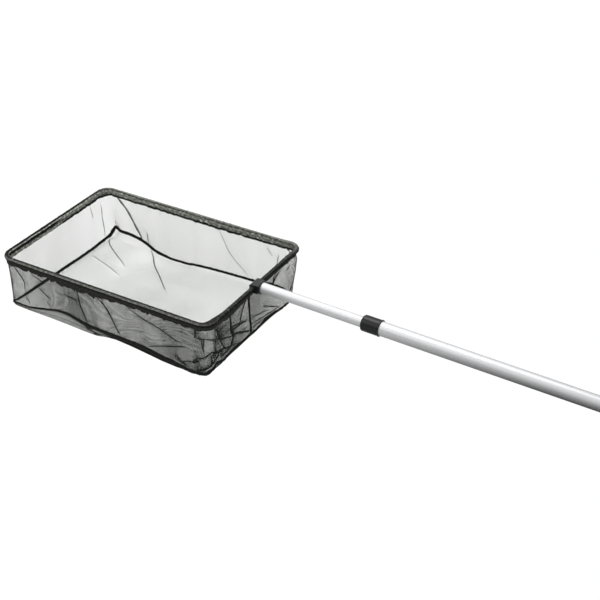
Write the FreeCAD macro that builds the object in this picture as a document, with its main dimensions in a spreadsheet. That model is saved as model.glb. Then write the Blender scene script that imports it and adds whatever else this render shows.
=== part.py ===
import FreeCAD, Part
import math
import os
import Sketcher
from FreeCAD import Placement, Rotation, Vector

# Leaf skimmer net: a rectangular mesh bag on a bent rim rod, a moulded
# connector, and a two-stage telescopic pole with an internal twist lock.
#
# Frame: the origin is the centre of the hanging hole in the pole's end cap.
# The pole lies along X, the net is at -X and the bag hangs towards -Z.
# Each piece is drawn about the point where the pole's axis meets the rim rod,
# which stands at x = -head_offset. Rim and bag are tipped there by head_sag.

SIZES = dict(
    # placing
    head_offset=935.0,         # hanging hole to rim rod
    head_sag=1.25,             # degrees the net head tips below the pole's line
    # shared clearances
    hole_clear=0.02,           # radial, round screws, rivet and pin
    joint_gap=0.03,            # between faces that meet
    edge_chamfer=0.8,
    overrun=1.0,               # how far a cut runs past the material
    # rim
    rim_length=445.0,          # rod centre to rod centre, along the pole
    rim_width=300.0,           # rod centre to rod centre, across the pole
    rim_corner=21.0,
    rod_dia=7.0,
    rod_bore=5.0,
    rod_web=6.0,               # plastic left between the rod's two ends
    # hem of the bag
    hem_dia=8.4,
    hem_bore=7.1,
    hem_start=12.6,            # from the pole's axis, along the rod
    hem_tail_end=9.4,
    hem_tail_thick=1.4,
    stitch_dia=0.9,
    stitch_out=1.25,
    stitch_drop=7.6,
    # bag: band is its walls; tops, bottoms and drops are depths below the rod
    net_thick=0.8,
    band_top=9.8,
    band_bottom=99.0,
    band_bottom_len=438.0,
    band_bottom_wid=302.0,
    band_bottom_corner=24.0,
    tape_dia=3.6,
    tape_drop=101.2,
    floor_top=100.6,
    floor_mid=110.0,
    floor_low=116.0,
    floor_inset=2.2,
    floor_mid_inset=45.0,
    floor_low_inset=95.0,
    seam_width=6.0,
    seam_thick=0.9,
    seam_gap=1.0,
    seam_top_y=-23.0,
    seam_low_y=-21.0,
    seam_top_z=11.0,
    seam_low_z=98.6,
    # connector block; its back faces -X and its front +X
    block_half_y=12.0,
    block_back=6.6,
    block_front=10.8,
    block_top=7.6,
    block_low=8.6,
    block_round=4.2,           # edges at -X
    block_front_round=1.2,     # edges at +X
    rod_hole=7.1,
    rod_hole_extra=0.05,       # added to each rod hole's depth
    # connector neck, flange and plug
    neck_drop=0.3,             # neck radius is this much less than block_top
    flange_start=10.0,
    flange_end=13.6,
    flange_dia=25.0,
    plug_dia=16.9,
    plug_end=54.0,
    plug_chamfer=1.5,
    plug_core=9.0,
    core_tip=2.0,              # tip of the core's conical end, from flange_end
    core_straight=6.0,         # start of its straight part, from flange_end
    # set screws
    screw_dia=4.0,
    screw_y=7.6,
    screw_tip=3.56,            # depth of the tip below the pole's axis
    screw_head=8.3,            # depth of the socket face below the pole's axis
    screw_hole_extra=0.3,
    screw_socket=2.0,          # across flats
    screw_socket_deep=2.0,
    # rivet
    rivet_x=22.5,
    rivet_dia=4.0,
    rivet_head_dia=7.6,
    rivet_head_high=1.3,
    rivet_mid_part=0.86,       # head height at half its radius, as a fraction
    rivet_rim_part=0.25,       # head height at its rim, as a fraction
    rivet_tip_gap=0.3,
    # pole tubes
    inner_dia=19.0,
    inner_bore=17.0,
    inner_start=13.65,
    inner_len=617.4,
    outer_dia=25.0,
    outer_bore=23.0,
    outer_start=215.0,
    outer_len=700.0,
    # collar and bush
    collar_start=209.5,
    collar_len=34.5,
    collar_dia=28.4,
    collar_hole=19.6,
    collar_seat=25.1,
    collar_round=4.2,
    collar_lip_dia=29.2,
    collar_lip_len=2.4,
    collar_lip_ramp=0.6,
    collar_lip_round=0.5,
    bush_flange=2.4,
    bush_len=42.0,
    bush_dia=22.96,
    bush_bore=19.1,
    bush_chamfer_len=1.0,
    bush_chamfer_deep=0.5,
    # lock plug, stud and stop ring
    lplug_dia=16.9,
    lplug_in=30.0,
    lplug_shoulder=4.0,
    lplug_shoulder_dia=20.0,
    stud_dia=8.0,
    stud_len=44.0,
    stud_chamfer=0.6,
    ring_groove_dia=6.4,
    ring_from_end=3.6,
    ring_thick=1.0,
    ring_slack=0.05,           # each side of the ring in its groove
    ring_dia=13.0,
    ring_gap=5.0,
    ring_cut_deep=4.0,
    pin_dia=3.0,
    pin_from_end=15.0,
    pin_len=18.8,
    # lock expander
    sleeve_gap=0.1,
    sleeve_len=26.0,
    sleeve_dia=22.9,
    sleeve_bore=8.1,
    sleeve_neck=6.0,
    sleeve_taper_small=15.0,
    sleeve_taper_big=19.0,
    sleeve_taper_rate=3.0,     # length per unit of diameter
    slot_width=2.6,
    slot_from_neck=1.0,
    slot_count=4.0,
    # lock cone
    cone_bore=8.1,
    cone_small=14.9,
    cone_big=18.9,
    cone_start_gap=0.05,
    cone_face_gap=0.3,
    cone_nut_dia=20.5,
    cone_nut_len=5.0,
    cone_bore_cut=40.0,
    key_width=2.4,
    key_dia=21.6,
    key_in_sleeve=6.0,
    key_in_nut=1.0,
    # grip and end cap
    grip_end=3.0,              # grip to the outer tube's end
    grip_len=165.0,
    grip_dia=31.0,
    grip_bore=25.1,
    grip_front_round=2.5,      # end at -X
    grip_rear_round=1.5,       # end at +X
    grip_groove_start=20.0,
    grip_groove_pitch=11.0,
    grip_groove_count=12.0,
    grip_groove_wide=2.4,
    grip_groove_deep=1.0,
    grip_groove_over=0.5,      # how far the cut stands outside the grip
    cap_dia=29.0,
    cap_plug_dia=22.9,
    cap_plug_len=24.0,
    cap_plug_bore=16.0,
    cap_bore_cone=1.0,         # reach of the bore's conical end, each way
    cap_len=8.0,
    cap_round=3.0,
    tab_root=2.0,
    tab_thick=9.0,
    tab_width=20.0,
    tab_round=1.2,
    hole_dia=10.0,
)
HEX_CORNER = 1.1547            # hexagon: corner radius over flat radius

doc = FreeCAD.newDocument("leaf_skimmer_net")
sheet = doc.addObject("Spreadsheet::Sheet", "dims")
sheet.Label = "dims"


class Dim:
    """A size that knows both its number and its spreadsheet expression."""

    def __init__(self, value, expr):
        self.value = float(value)
        self.expr = expr

    def join(self, other, sign, value):
        text = other.expr if isinstance(other, Dim) else repr(float(other))
        return Dim(value, "(%s %s %s)" % (self.expr, sign, text))

    def __add__(self, other):
        return self.join(other, "+", self.value + number(other))

    def __sub__(self, other):
        return self.join(other, "-", self.value - number(other))

    def __mul__(self, other):
        return self.join(other, "*", self.value * number(other))

    def __truediv__(self, other):
        return self.join(other, "/", self.value / number(other))

    def __neg__(self):
        return Dim(-self.value, "(0 - %s)" % self.expr)


def number(size):
    return size.value if isinstance(size, Dim) else float(size)


def root(size):
    return Dim(size.value ** 0.5, "sqrt(%s)" % size.expr)


class Sizes:
    """Holds one Dim for each row of the spreadsheet."""


dims = Sizes()
for row, (alias, value) in enumerate(SIZES.items(), start=1):
    sheet.set("A%d" % row, alias)
    sheet.set("B%d" % row, repr(value))
    sheet.setAlias("B%d" % row, alias)
    setattr(dims, alias, Dim(value, "dims.%s" % alias))
doc.recompute()

# -------------------------------------------------------------------- helpers

PARTS = []


def bind(obj, prop, size):
    if isinstance(size, Dim):
        obj.setExpression(prop, size.expr)


def new_body(label, shift=-dims.head_offset, tipped=False):
    """A body whose own frame stands at the rim rod, or at the given x."""
    body = doc.addObject("PartDesign::Body", label)
    body.Label = label
    turn = Rotation(Vector(0, -1, 0), dims.head_sag.value) if tipped else Rotation()
    body.Placement = Placement(Vector(number(shift), 0, 0), turn)
    bind(body, "Placement.Base.x", shift)
    if tipped:
        bind(body, "Placement.Rotation.Angle", dims.head_sag)
    PARTS.append(body)
    return body


def datum(body, role):
    """One of the body's origin planes or axes."""
    for item in body.Origin.OriginFeatures:
        if item.Role == role:
            return item
    raise RuntimeError("no datum " + role)


def new_sketch(body, name, role, offset=None):
    """A sketch on an origin plane, moved by offset along the plane's normal.

    The normals of XY, YZ and XZ point to +Z, +X and -Y.
    """
    sketch = body.newObject("Sketcher::SketchObject", body.Label + "_" + name)
    sketch.AttachmentSupport = [(datum(body, role), "")]
    sketch.MapMode = "FlatFace"
    if offset is not None:
        sketch.AttachmentOffset = Placement(Vector(0, 0, number(offset)), Rotation())
        bind(sketch, "AttachmentOffset.Base.z", offset)
    return sketch


def constrain(sketch, size, kind, *where):
    index = sketch.addConstraint(Sketcher.Constraint(kind, *where, number(size)))
    bind(sketch, "Constraints[%d]" % index, size)


def pin_point(sketch, geo, pos, x, y):
    """Fix one point of a sketch at (x, y)."""
    for kind, size, zero_axis in (("DistanceX", x, -2), ("DistanceY", y, -1)):
        if abs(number(size)) < 1e-9:
            sketch.addConstraint(Sketcher.Constraint("PointOnObject", geo, pos, zero_axis))
        else:
            constrain(sketch, size, kind, -1, 1, geo, pos)


def flat_vector(point):
    return Vector(number(point[0]), number(point[1]), 0)


def draw(sketch, points, arcs=None, closed=True):
    """Lines through points; arcs maps a segment's index to (centre, radius)."""
    arcs = arcs or {}
    count = len(points) if closed else len(points) - 1
    segments = []              # (geometry index, start point, end point)
    for i in range(count):
        start = flat_vector(points[i])
        end = flat_vector(points[(i + 1) % len(points)])
        if i not in arcs:
            line = Part.LineSegment(start, end)
            segments.append((sketch.addGeometry(line, False), 1, 2))
            continue
        centre = flat_vector(arcs[i][0])
        full = Part.Circle(centre, Vector(0, 0, 1), number(arcs[i][1]))
        from_angle = math.atan2(start.y - centre.y, start.x - centre.x)
        to_angle = math.atan2(end.y - centre.y, end.x - centre.x)
        turn = (to_angle - from_angle) % (2 * math.pi)
        # Arcs run anticlockwise, so one drawn clockwise swaps its two ends.
        if turn <= math.pi:
            arc = Part.ArcOfCircle(full, from_angle, from_angle + turn)
            segments.append((sketch.addGeometry(arc, False), 1, 2))
        else:
            arc = Part.ArcOfCircle(full, to_angle, to_angle + 2 * math.pi - turn)
            segments.append((sketch.addGeometry(arc, False), 2, 1))
    for i, (geo, start, end) in enumerate(segments):
        if i + 1 < count or closed:
            next_geo, next_start, _ = segments[(i + 1) % count]
            sketch.addConstraint(
                Sketcher.Constraint("Coincident", geo, end, next_geo, next_start))
    for i, (geo, start, end) in enumerate(segments):
        pin_point(sketch, geo, start, *points[i])
        if i in arcs:
            constrain(sketch, arcs[i][1], "Radius", geo)
    if not closed:
        geo, _, end = segments[-1]
        pin_point(sketch, geo, end, *points[-1])


def circle(sketch, x, y, radius):
    shape = Part.Circle(flat_vector((x, y)), Vector(0, 0, 1), number(radius))
    geo = sketch.addGeometry(shape, False)
    pin_point(sketch, geo, 3, x, y)
    constrain(sketch, radius, "Radius", geo)


def rectangle(sketch, x0, y0, x1, y1):
    draw(sketch, [(x0, y0), (x1, y0), (x1, y1), (x0, y1)])


def volume(body):
    doc.recompute()
    return body.Shape.Volume


def feature(body, kind, name, cuts=False, **props):
    """Add a feature as the body's tip; with cuts, it must take material away."""
    before = volume(body) if cuts else 0.0
    made = body.newObject("PartDesign::" + kind, body.Label + "_" + name)
    for prop, size in props.items():
        setattr(made, prop, size.value if isinstance(size, Dim) else size)
        bind(made, prop, size)
    body.Tip = made
    if cuts and not volume(body) < before - 1e-3:
        raise RuntimeError("%s: %s cut nothing" % (body.Label, name))
    return made


def turned(body, name, points, axis="H_Axis", kind="Revolution"):
    """A lathe shape; points are (x, z) for a profile in the XZ plane."""
    sketch = new_sketch(body, name + "_profile", "XZ_Plane")
    draw(sketch, points)
    return feature(body, kind, name, cuts=kind == "Groove",
                   Profile=sketch, ReferenceAxis=(sketch, [axis]), Angle=360.0)


def pad(body, name, sketch, length, midplane=False):
    side = {"SideType": "Symmetric"} if midplane else {}
    return feature(body, "Pad", name, Profile=sketch, Length=length, **side)


def pocket(body, name, sketch, length, midplane=False):
    """A cut along the sketch's normal, or half to each side of the sketch."""
    side = {"SideType": "Symmetric"} if midplane else {"Reversed": True}
    return feature(body, "Pocket", name, cuts=True, Profile=sketch, Length=length, **side)


def mirror_y(body, name, originals, cuts=False):
    feature(body, "Mirrored", name, cuts, Originals=originals,
            MirrorPlane=(datum(body, "XZ_Plane"), [""]))


def spin(body, name, original, cuts=False):
    """Repeat a feature about the X axis, once for each slot of the expander."""
    pattern = feature(body, "PolarPattern", name, cuts, Originals=[original],
                      Axis=(datum(body, "X_Axis"), [""]), Angle=360.0,
                      Occurrences=int(dims.slot_count.value))
    bind(pattern, "Occurrences", dims.slot_count)


def fillet(body, name, test, radius):
    """Round the edges of the body's tip that pass the test."""
    doc.recompute()
    edges = ["Edge%d" % i for i, edge in enumerate(body.Tip.Shape.Edges, start=1) if test(edge)]
    if not edges:
        raise RuntimeError("%s: no edge for %s" % (body.Label, name))
    feature(body, "Fillet", name, Base=(body.Tip, edges), Radius=radius)
    doc.recompute()


def round_edge(x, radius, tolerance=0.02):
    """Test for circular edges with their centre at x."""
    def test(edge):
        curve = edge.Curve
        return (isinstance(curve, Part.Circle)
                and abs(curve.Center.x - number(x)) < tolerance
                and abs(curve.Radius - number(radius)) < tolerance)
    return test


def edge_along_y(side):
    """Test for straight edges along Y, at +X for side 1 and -X for side -1."""
    def test(edge):
        return (isinstance(edge.Curve, Part.Line)
                and abs(edge.tangentAt(edge.FirstParameter).y) > 0.99
                and edge.Vertexes[0].Point.x * side > 0)
    return test


# ---------------------------------------------------------------- rim and bag

HALF_WIDTH = dims.rim_width / 2
BAG_MID_X = -dims.rim_length / 2


def rounded_rect(sketch, x0, x1, half, corner):
    """Rounded rectangle from x0 to x1, anticlockwise from its -Y side."""
    left, right, side = x0 + corner, x1 - corner, half - corner
    points = [(left, -half), (right, -half), (x1, -side), (x1, side),
              (right, half), (left, half), (x0, side), (x0, -side)]
    draw(sketch, points, {1: ((right, -side), corner), 3: ((right, side), corner),
                          5: ((left, side), corner), 7: ((left, -side), corner)})


def rim_path(body, start):
    """Open path round the rim, from y = -start to y = start at the connector."""
    sketch = new_sketch(body, "path", "XY_Plane")
    corner = dims.rim_corner
    far = -dims.rim_length
    side = HALF_WIDTH - corner
    points = [(0, -start), (0, -side), (-corner, -HALF_WIDTH), (far + corner, -HALF_WIDTH),
              (far, -side), (far, side), (far + corner, HALF_WIDTH), (-corner, HALF_WIDTH),
              (0, side), (0, start)]
    draw(sketch, points, {1: ((-corner, -side), corner), 3: ((far + corner, -side), corner),
                          5: ((far + corner, side), corner), 7: ((-corner, side), corner)},
         closed=False)
    return sketch


def sweep(body, name, profile, path):
    doc.recompute()
    edges = ["Edge%d" % (i + 1) for i in range(len(path.Shape.Edges))]
    feature(body, "AdditivePipe", name, Profile=profile, Spine=(path, edges))


def loft(body, kind, name, sections):
    """Ruled loft through rounded rectangles (z, x0, x1, half width, corner)."""
    sketches = []
    for i, (z, *outline) in enumerate(sections):
        sketch = new_sketch(body, "%s_%d" % (name, i), "XY_Plane", z)
        rounded_rect(sketch, *outline)
        sketches.append(sketch)
    doc.recompute()
    feature(body, kind, name, cuts=kind == "SubtractiveLoft",
            Profile=sketches[0], Sections=sketches[1:], Ruled=True)


def bottom_outline(grow=0.0):
    """x0, x1 and half width at the bottom of the bag, grown on every side."""
    half_len = dims.band_bottom_len / 2
    return (BAG_MID_X - half_len - grow, BAG_MID_X + half_len + grow,
            dims.band_bottom_wid / 2 + grow)


def frame_rod():
    """One bent tube, its two ends held in the connector."""
    body = new_body("frame_rod", tipped=True)
    path = rim_path(body, dims.rod_web / 2)
    section = new_sketch(body, "section", "XZ_Plane", dims.rod_web / 2)
    circle(section, 0, 0, dims.rod_dia / 2)
    circle(section, 0, 0, dims.rod_bore / 2)
    sweep(body, "bend", section, path)


def hem_sleeve():
    """Mesh folded round the rod, with a flat tail below it."""
    body = new_body("hem_sleeve", tipped=True)
    path = rim_path(body, dims.hem_start)
    section = new_sketch(body, "section", "XZ_Plane", dims.hem_start)
    tail = dims.hem_tail_thick / 2
    radius = dims.hem_dia / 2
    join = root(radius * radius - tail * tail)   # depth where tail meets circle
    draw(section, [(tail, -dims.hem_tail_end), (tail, -join), (0, radius), (-tail, -join),
                   (-tail, -dims.hem_tail_end)],
         {1: ((0, 0), radius), 2: ((0, 0), radius)})
    circle(section, 0, 0, dims.hem_bore / 2)
    sweep(body, "sleeve", section, path)


def hem_stitching():
    """The sewn line that closes the hem."""
    body = new_body("hem_stitching", tipped=True)
    path = rim_path(body, dims.hem_start)
    section = new_sketch(body, "section", "XZ_Plane", dims.hem_start)
    circle(section, dims.stitch_out, -dims.stitch_drop, dims.stitch_dia / 2)
    sweep(body, "thread", section, path)


def net_side_band():
    """The four walls of the bag, one strip of mesh."""
    def sections(grow):
        return [(-dims.band_top, -dims.rim_length - grow, grow, HALF_WIDTH + grow,
                 dims.rim_corner + grow),
                (-dims.band_bottom, *bottom_outline(grow), dims.band_bottom_corner + grow)]

    body = new_body("net_side_band", tipped=True)
    loft(body, "AdditiveLoft", "outside", sections(dims.net_thick / 2))
    loft(body, "SubtractiveLoft", "inside", sections(-dims.net_thick / 2))


def net_bottom_panel():
    """The bag's floor, which sags in the middle."""
    def sections(drop):
        stations = [(dims.floor_top, dims.floor_inset),      # (depth, inset)
                    (dims.floor_mid, dims.floor_mid_inset),
                    (dims.floor_low, dims.floor_low_inset)]
        return [(-depth - drop, *bottom_outline(-inset), dims.band_bottom_corner)
                for depth, inset in stations]

    body = new_body("net_bottom_panel", tipped=True)
    loft(body, "AdditiveLoft", "under", sections(dims.net_thick))
    loft(body, "SubtractiveLoft", "over", sections(0.0))


def bottom_binding():
    """The tape that joins walls and floor."""
    body = new_body("bottom_binding", tipped=True)
    path = new_sketch(body, "path", "XY_Plane", -dims.tape_drop)
    rounded_rect(path, *bottom_outline(), dims.band_bottom_corner)
    section = new_sketch(body, "section", "YZ_Plane", BAG_MID_X)
    circle(section, -dims.band_bottom_wid / 2, -dims.tape_drop, dims.tape_dia / 2)
    sweep(body, "tape", section, path)


def side_seam_tape():
    """Closes the wall strip's two ends, on the pole's side of the bag."""
    body = new_body("side_seam_tape", tipped=True)
    sketch = new_sketch(body, "outline", "YZ_Plane", dims.seam_gap)
    half = dims.seam_width / 2
    draw(sketch, [(dims.seam_top_y - half, -dims.seam_top_z),
                  (dims.seam_low_y - half, -dims.seam_low_z),
                  (dims.seam_low_y + half, -dims.seam_low_z),
                  (dims.seam_top_y + half, -dims.seam_top_z)])
    pad(body, "strip", sketch, dims.seam_thick)


# ------------------------------------------------------------------ connector

def rivet_hole(body, start, depth):
    """Hole for the plug rivet, cut upwards from z = -start."""
    sketch = new_sketch(body, "rivet_place", "XY_Plane", -start)
    circle(sketch, dims.rivet_x, 0, dims.rivet_dia / 2 + dims.hole_clear)
    pocket(body, "rivet_hole", sketch, depth)


def connector_body():
    """Saddle round the rod, flange, and plug in the inner tube."""
    body = new_body("connector_body")
    sketch = new_sketch(body, "saddle", "XZ_Plane")
    rectangle(sketch, -dims.block_back, -dims.block_low, dims.block_front, dims.block_top)
    pad(body, "block", sketch, dims.block_half_y * 2, midplane=True)
    fillet(body, "saddle_round", edge_along_y(-1), dims.block_round)
    fillet(body, "front_round", edge_along_y(1), dims.block_front_round)

    neck = dims.block_top - dims.neck_drop
    start, end = dims.flange_start, dims.flange_end
    flange, plug, core = dims.flange_dia / 2, dims.plug_dia / 2, dims.plug_core / 2
    chamfer = dims.edge_chamfer
    turned(body, "plug", [
        (0, 0), (0, neck), (start, neck),
        (start, flange - chamfer), (start + chamfer, flange),
        (end - chamfer, flange), (end, flange - chamfer),
        (end, plug), (dims.plug_end - dims.plug_chamfer, plug),
        (dims.plug_end, plug - dims.plug_chamfer), (dims.plug_end, core),
        (end + dims.core_straight, core), (end + dims.core_tip, 0)])

    # One blind hole for each end of the rod, with the web between them.
    sketch = new_sketch(body, "rod_socket", "XZ_Plane", -dims.block_half_y)
    circle(sketch, 0, 0, dims.rod_hole / 2)
    socket = pocket(body, "socket", sketch,
                    dims.block_half_y - dims.rod_web / 2 + dims.rod_hole_extra)
    mirror_y(body, "other_socket", [socket], cuts=True)

    sketch = new_sketch(body, "screw_places", "XY_Plane", -dims.block_low)
    for y in (dims.screw_y, -dims.screw_y):
        circle(sketch, 0, y, dims.screw_dia / 2 + dims.hole_clear)
    pocket(body, "screw_holes", sketch,
           dims.block_low - dims.screw_tip + dims.screw_hole_extra)
    rivet_hole(body, plug, plug)


def rod_set_screws():
    """Two socket set screws from below, one on each rod end."""
    body = new_body("rod_set_screws")
    body.AllowCompound = True
    sketch = new_sketch(body, "round", "XY_Plane", -dims.screw_head)
    circle(sketch, 0, dims.screw_y, dims.screw_dia / 2)
    shank = pad(body, "shank", sketch, dims.screw_head - dims.screw_tip)

    sketch = new_sketch(body, "hexagon", "XY_Plane", -dims.screw_head)
    flat = dims.screw_socket / 2
    corner = flat * HEX_CORNER
    y = dims.screw_y
    draw(sketch, [(corner, y), (corner / 2, y + flat), (-corner / 2, y + flat),
                  (-corner, y), (-corner / 2, y - flat), (corner / 2, y - flat)])
    socket = pocket(body, "socket", sketch, dims.screw_socket_deep)
    mirror_y(body, "pair", [shank, socket])


def plug_rivet():
    """Holds the connector's plug in the inner tube, from below."""
    body = new_body("plug_rivet", shift=dims.rivet_x - dims.head_offset)
    seat = dims.inner_dia / 2 + dims.joint_gap
    high = dims.rivet_head_high
    tip = dims.plug_core / 2 + dims.rivet_tip_gap
    turned(body, "rivet", [
        (0, -(seat + high)),
        (dims.rivet_head_dia / 4, -(seat + high * dims.rivet_mid_part)),
        (dims.rivet_head_dia / 2, -(seat + high * dims.rivet_rim_part)),
        (dims.rivet_head_dia / 2, -seat), (dims.rivet_dia / 2, -seat),
        (dims.rivet_dia / 2, -tip), (0, -tip)], axis="V_Axis")


# ----------------------------------------------------------------- pole tubes

TUBE_END = dims.inner_start + dims.inner_len         # inner tube's +X end
MOUTH = dims.outer_start + dims.bush_flange          # outer tube's -X end
OUTER_END = MOUTH + dims.outer_len


def tube(body, start, outside_dia, bore_dia, length):
    sketch = new_sketch(body, "ring", "YZ_Plane", start)
    circle(sketch, 0, 0, outside_dia / 2)
    circle(sketch, 0, 0, bore_dia / 2)
    pad(body, "tube", sketch, length)


def pin_hole(body):
    """Hole along Y for the lock plug's cross pin."""
    sketch = new_sketch(body, "pin_place", "XZ_Plane")
    circle(sketch, TUBE_END - dims.pin_from_end, 0, dims.pin_dia / 2 + dims.hole_clear)
    pocket(body, "pin_hole", sketch, dims.inner_dia + dims.overrun * 2, midplane=True)


def inner_tube():
    """The pole's thin stage."""
    body = new_body("inner_tube")
    tube(body, dims.inner_start, dims.inner_dia, dims.inner_bore, dims.inner_len)
    rivet_hole(body, dims.inner_dia / 2, dims.inner_dia / 4)
    pin_hole(body)


def outer_tube():
    """The pole's thick stage."""
    body = new_body("outer_tube")
    tube(body, MOUTH, dims.outer_dia, dims.outer_bore, dims.outer_len)


def collar():
    """Domed moulded collar on the outer tube's mouth."""
    body = new_body("collar")
    start = dims.collar_start
    end = start + dims.collar_len
    lip_start = end - dims.collar_lip_len
    seat_x = dims.outer_start - dims.joint_gap
    outside, lip = dims.collar_dia / 2, dims.collar_lip_dia / 2
    hole, seat = dims.collar_hole / 2, dims.collar_seat / 2
    turned(body, "shell", [
        (start, hole), (start, outside), (lip_start, outside),
        (lip_start + dims.collar_lip_ramp, lip), (end, lip), (end, seat),
        (seat_x, seat), (seat_x, hole)])
    fillet(body, "dome", round_edge(start, outside), dims.collar_round)
    fillet(body, "lip_round", round_edge(end, lip), dims.collar_lip_round)


def guide_bush():
    """Carries the inner tube in the outer tube's mouth."""
    body = new_body("guide_bush")
    start = dims.outer_start
    flange_end = MOUTH - dims.joint_gap
    end = start + dims.bush_len
    flange, outside, bore = dims.outer_dia / 2, dims.bush_dia / 2, dims.bush_bore / 2
    turned(body, "bush", [
        (start, bore), (start, flange), (flange_end, flange), (flange_end, outside),
        (end - dims.bush_chamfer_len, outside),
        (end, outside - dims.bush_chamfer_deep), (end, bore)])


# ----------------------------------------------------------------- twist lock

SHOULDER_START = TUBE_END + dims.joint_gap
SHOULDER_END = SHOULDER_START + dims.lplug_shoulder
STUD_END = SHOULDER_END + dims.stud_len
RING_GROOVE = STUD_END - dims.ring_from_end
SLEEVE_START = SHOULDER_END + dims.sleeve_gap
SLEEVE_END = SLEEVE_START + dims.sleeve_len
TAPER_START = SLEEVE_END - (
    (dims.sleeve_taper_big - dims.sleeve_taper_small) * dims.sleeve_taper_rate)


def lock_plug():
    """Plug in the inner tube's end, with the lock's stud."""
    body = new_body("lock_plug")
    start = TUBE_END - dims.lplug_in
    groove_end = RING_GROOVE + dims.ring_thick + dims.ring_slack * 2
    plug, shoulder = dims.lplug_dia / 2, dims.lplug_shoulder_dia / 2
    stud, groove = dims.stud_dia / 2, dims.ring_groove_dia / 2
    turned(body, "stud", [
        (start, 0), (start, plug - dims.edge_chamfer), (start + dims.edge_chamfer, plug),
        (SHOULDER_START, plug), (SHOULDER_START, shoulder), (SHOULDER_END, shoulder),
        (SHOULDER_END, stud), (RING_GROOVE, stud), (RING_GROOVE, groove),
        (groove_end, groove), (groove_end, stud), (STUD_END - dims.stud_chamfer, stud),
        (STUD_END, stud - dims.stud_chamfer), (STUD_END, 0)])
    pin_hole(body)


def lock_plug_pin():
    """Cross pin through tube and lock plug."""
    body = new_body("lock_plug_pin")
    sketch = new_sketch(body, "round", "XZ_Plane")
    circle(sketch, TUBE_END - dims.pin_from_end, 0, dims.pin_dia / 2)
    pad(body, "pin", sketch, dims.pin_len, midplane=True)


def lock_expander():
    """Slotted sleeve; its fingers grip the outer tube's bore."""
    body = new_body("lock_expander")
    neck_end = SLEEVE_START + dims.sleeve_neck
    outside, bore = dims.sleeve_dia / 2, dims.sleeve_bore / 2
    small, big = dims.sleeve_taper_small / 2, dims.sleeve_taper_big / 2
    turned(body, "sleeve", [
        (SLEEVE_START, bore), (SLEEVE_START, outside - dims.edge_chamfer),
        (SLEEVE_START + dims.edge_chamfer, outside), (SLEEVE_END, outside),
        (SLEEVE_END, big), (TAPER_START, small), (neck_end, small), (neck_end, bore)])
    sketch = new_sketch(body, "slot_shape", "XY_Plane")
    half = dims.slot_width / 2
    rectangle(sketch, neck_end + dims.slot_from_neck, -half, SLEEVE_END + dims.overrun, half)
    slot = pocket(body, "slot", sketch, dims.sleeve_dia)
    spin(body, "slots", slot, cuts=True)


def lock_cone():
    """Nut on the stud, keyed in the slots; it spreads the fingers."""
    body = new_body("lock_cone")
    start = TAPER_START + dims.cone_start_gap
    face = SLEEVE_END + dims.cone_face_gap
    end = face + dims.cone_nut_len
    bore, big, nut = dims.cone_bore / 2, dims.cone_big / 2, dims.cone_nut_dia / 2
    turned(body, "nut", [
        (start, bore), (start, dims.cone_small / 2), (SLEEVE_END, big), (face, big),
        (face, nut), (end, nut), (end, bore)])
    sketch = new_sketch(body, "key_shape", "XY_Plane")
    half = dims.key_width / 2
    rectangle(sketch, SLEEVE_END - dims.key_in_sleeve, -half, face + dims.key_in_nut, half)
    key = pad(body, "key", sketch, dims.key_dia / 2)
    spin(body, "keys", key)
    # The keys start on the axis, so the bore is cut clear again.
    sketch = new_sketch(body, "bore_shape", "YZ_Plane", start - dims.overrun)
    circle(sketch, 0, 0, bore)
    pocket(body, "bore", sketch, dims.cone_bore_cut)


def lock_stop_ring():
    """Snap ring near the stud's end, open at the bottom."""
    body = new_body("lock_stop_ring")
    start = RING_GROOVE + dims.ring_slack
    end = start + dims.ring_thick
    outside = dims.ring_dia / 2
    bore = dims.ring_groove_dia / 2 + dims.joint_gap
    turned(body, "ring", [(start, bore), (start, outside), (end, outside), (end, bore)])
    sketch = new_sketch(body, "gap_shape", "YZ_Plane", RING_GROOVE - dims.overrun)
    rectangle(sketch, -dims.ring_gap / 2, -dims.ring_dia, dims.ring_gap / 2, 0)
    pocket(body, "gap", sketch, dims.ring_cut_deep)


# ------------------------------------------------------------ grip and end cap

def hand_grip():
    """Soft sleeve with a row of shallow grooves."""
    body = new_body("hand_grip")
    end = OUTER_END - dims.grip_end
    start = end - dims.grip_len
    outside, bore = dims.grip_dia / 2, dims.grip_bore / 2
    turned(body, "sleeve", [(start, bore), (start, outside), (end, outside), (end, bore)])
    fillet(body, "front_round", round_edge(start, outside), dims.grip_front_round)
    fillet(body, "rear_round", round_edge(end, outside), dims.grip_rear_round)

    groove_start = start + dims.grip_groove_start
    groove_end = groove_start + dims.grip_groove_wide
    above = outside + dims.grip_groove_over
    below = outside - dims.grip_groove_deep
    groove = turned(body, "groove", [
        (groove_start, above), (groove_end, above), (groove_end, below),
        (groove_start, below)], kind="Groove")
    grooves = feature(
        body, "LinearPattern", "grooves", cuts=True, Originals=[groove],
        Direction=(datum(body, "X_Axis"), [""]),
        Length=dims.grip_groove_pitch * (dims.grip_groove_count - 1),
        Occurrences=int(dims.grip_groove_count.value))
    bind(grooves, "Occurrences", dims.grip_groove_count)


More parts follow.
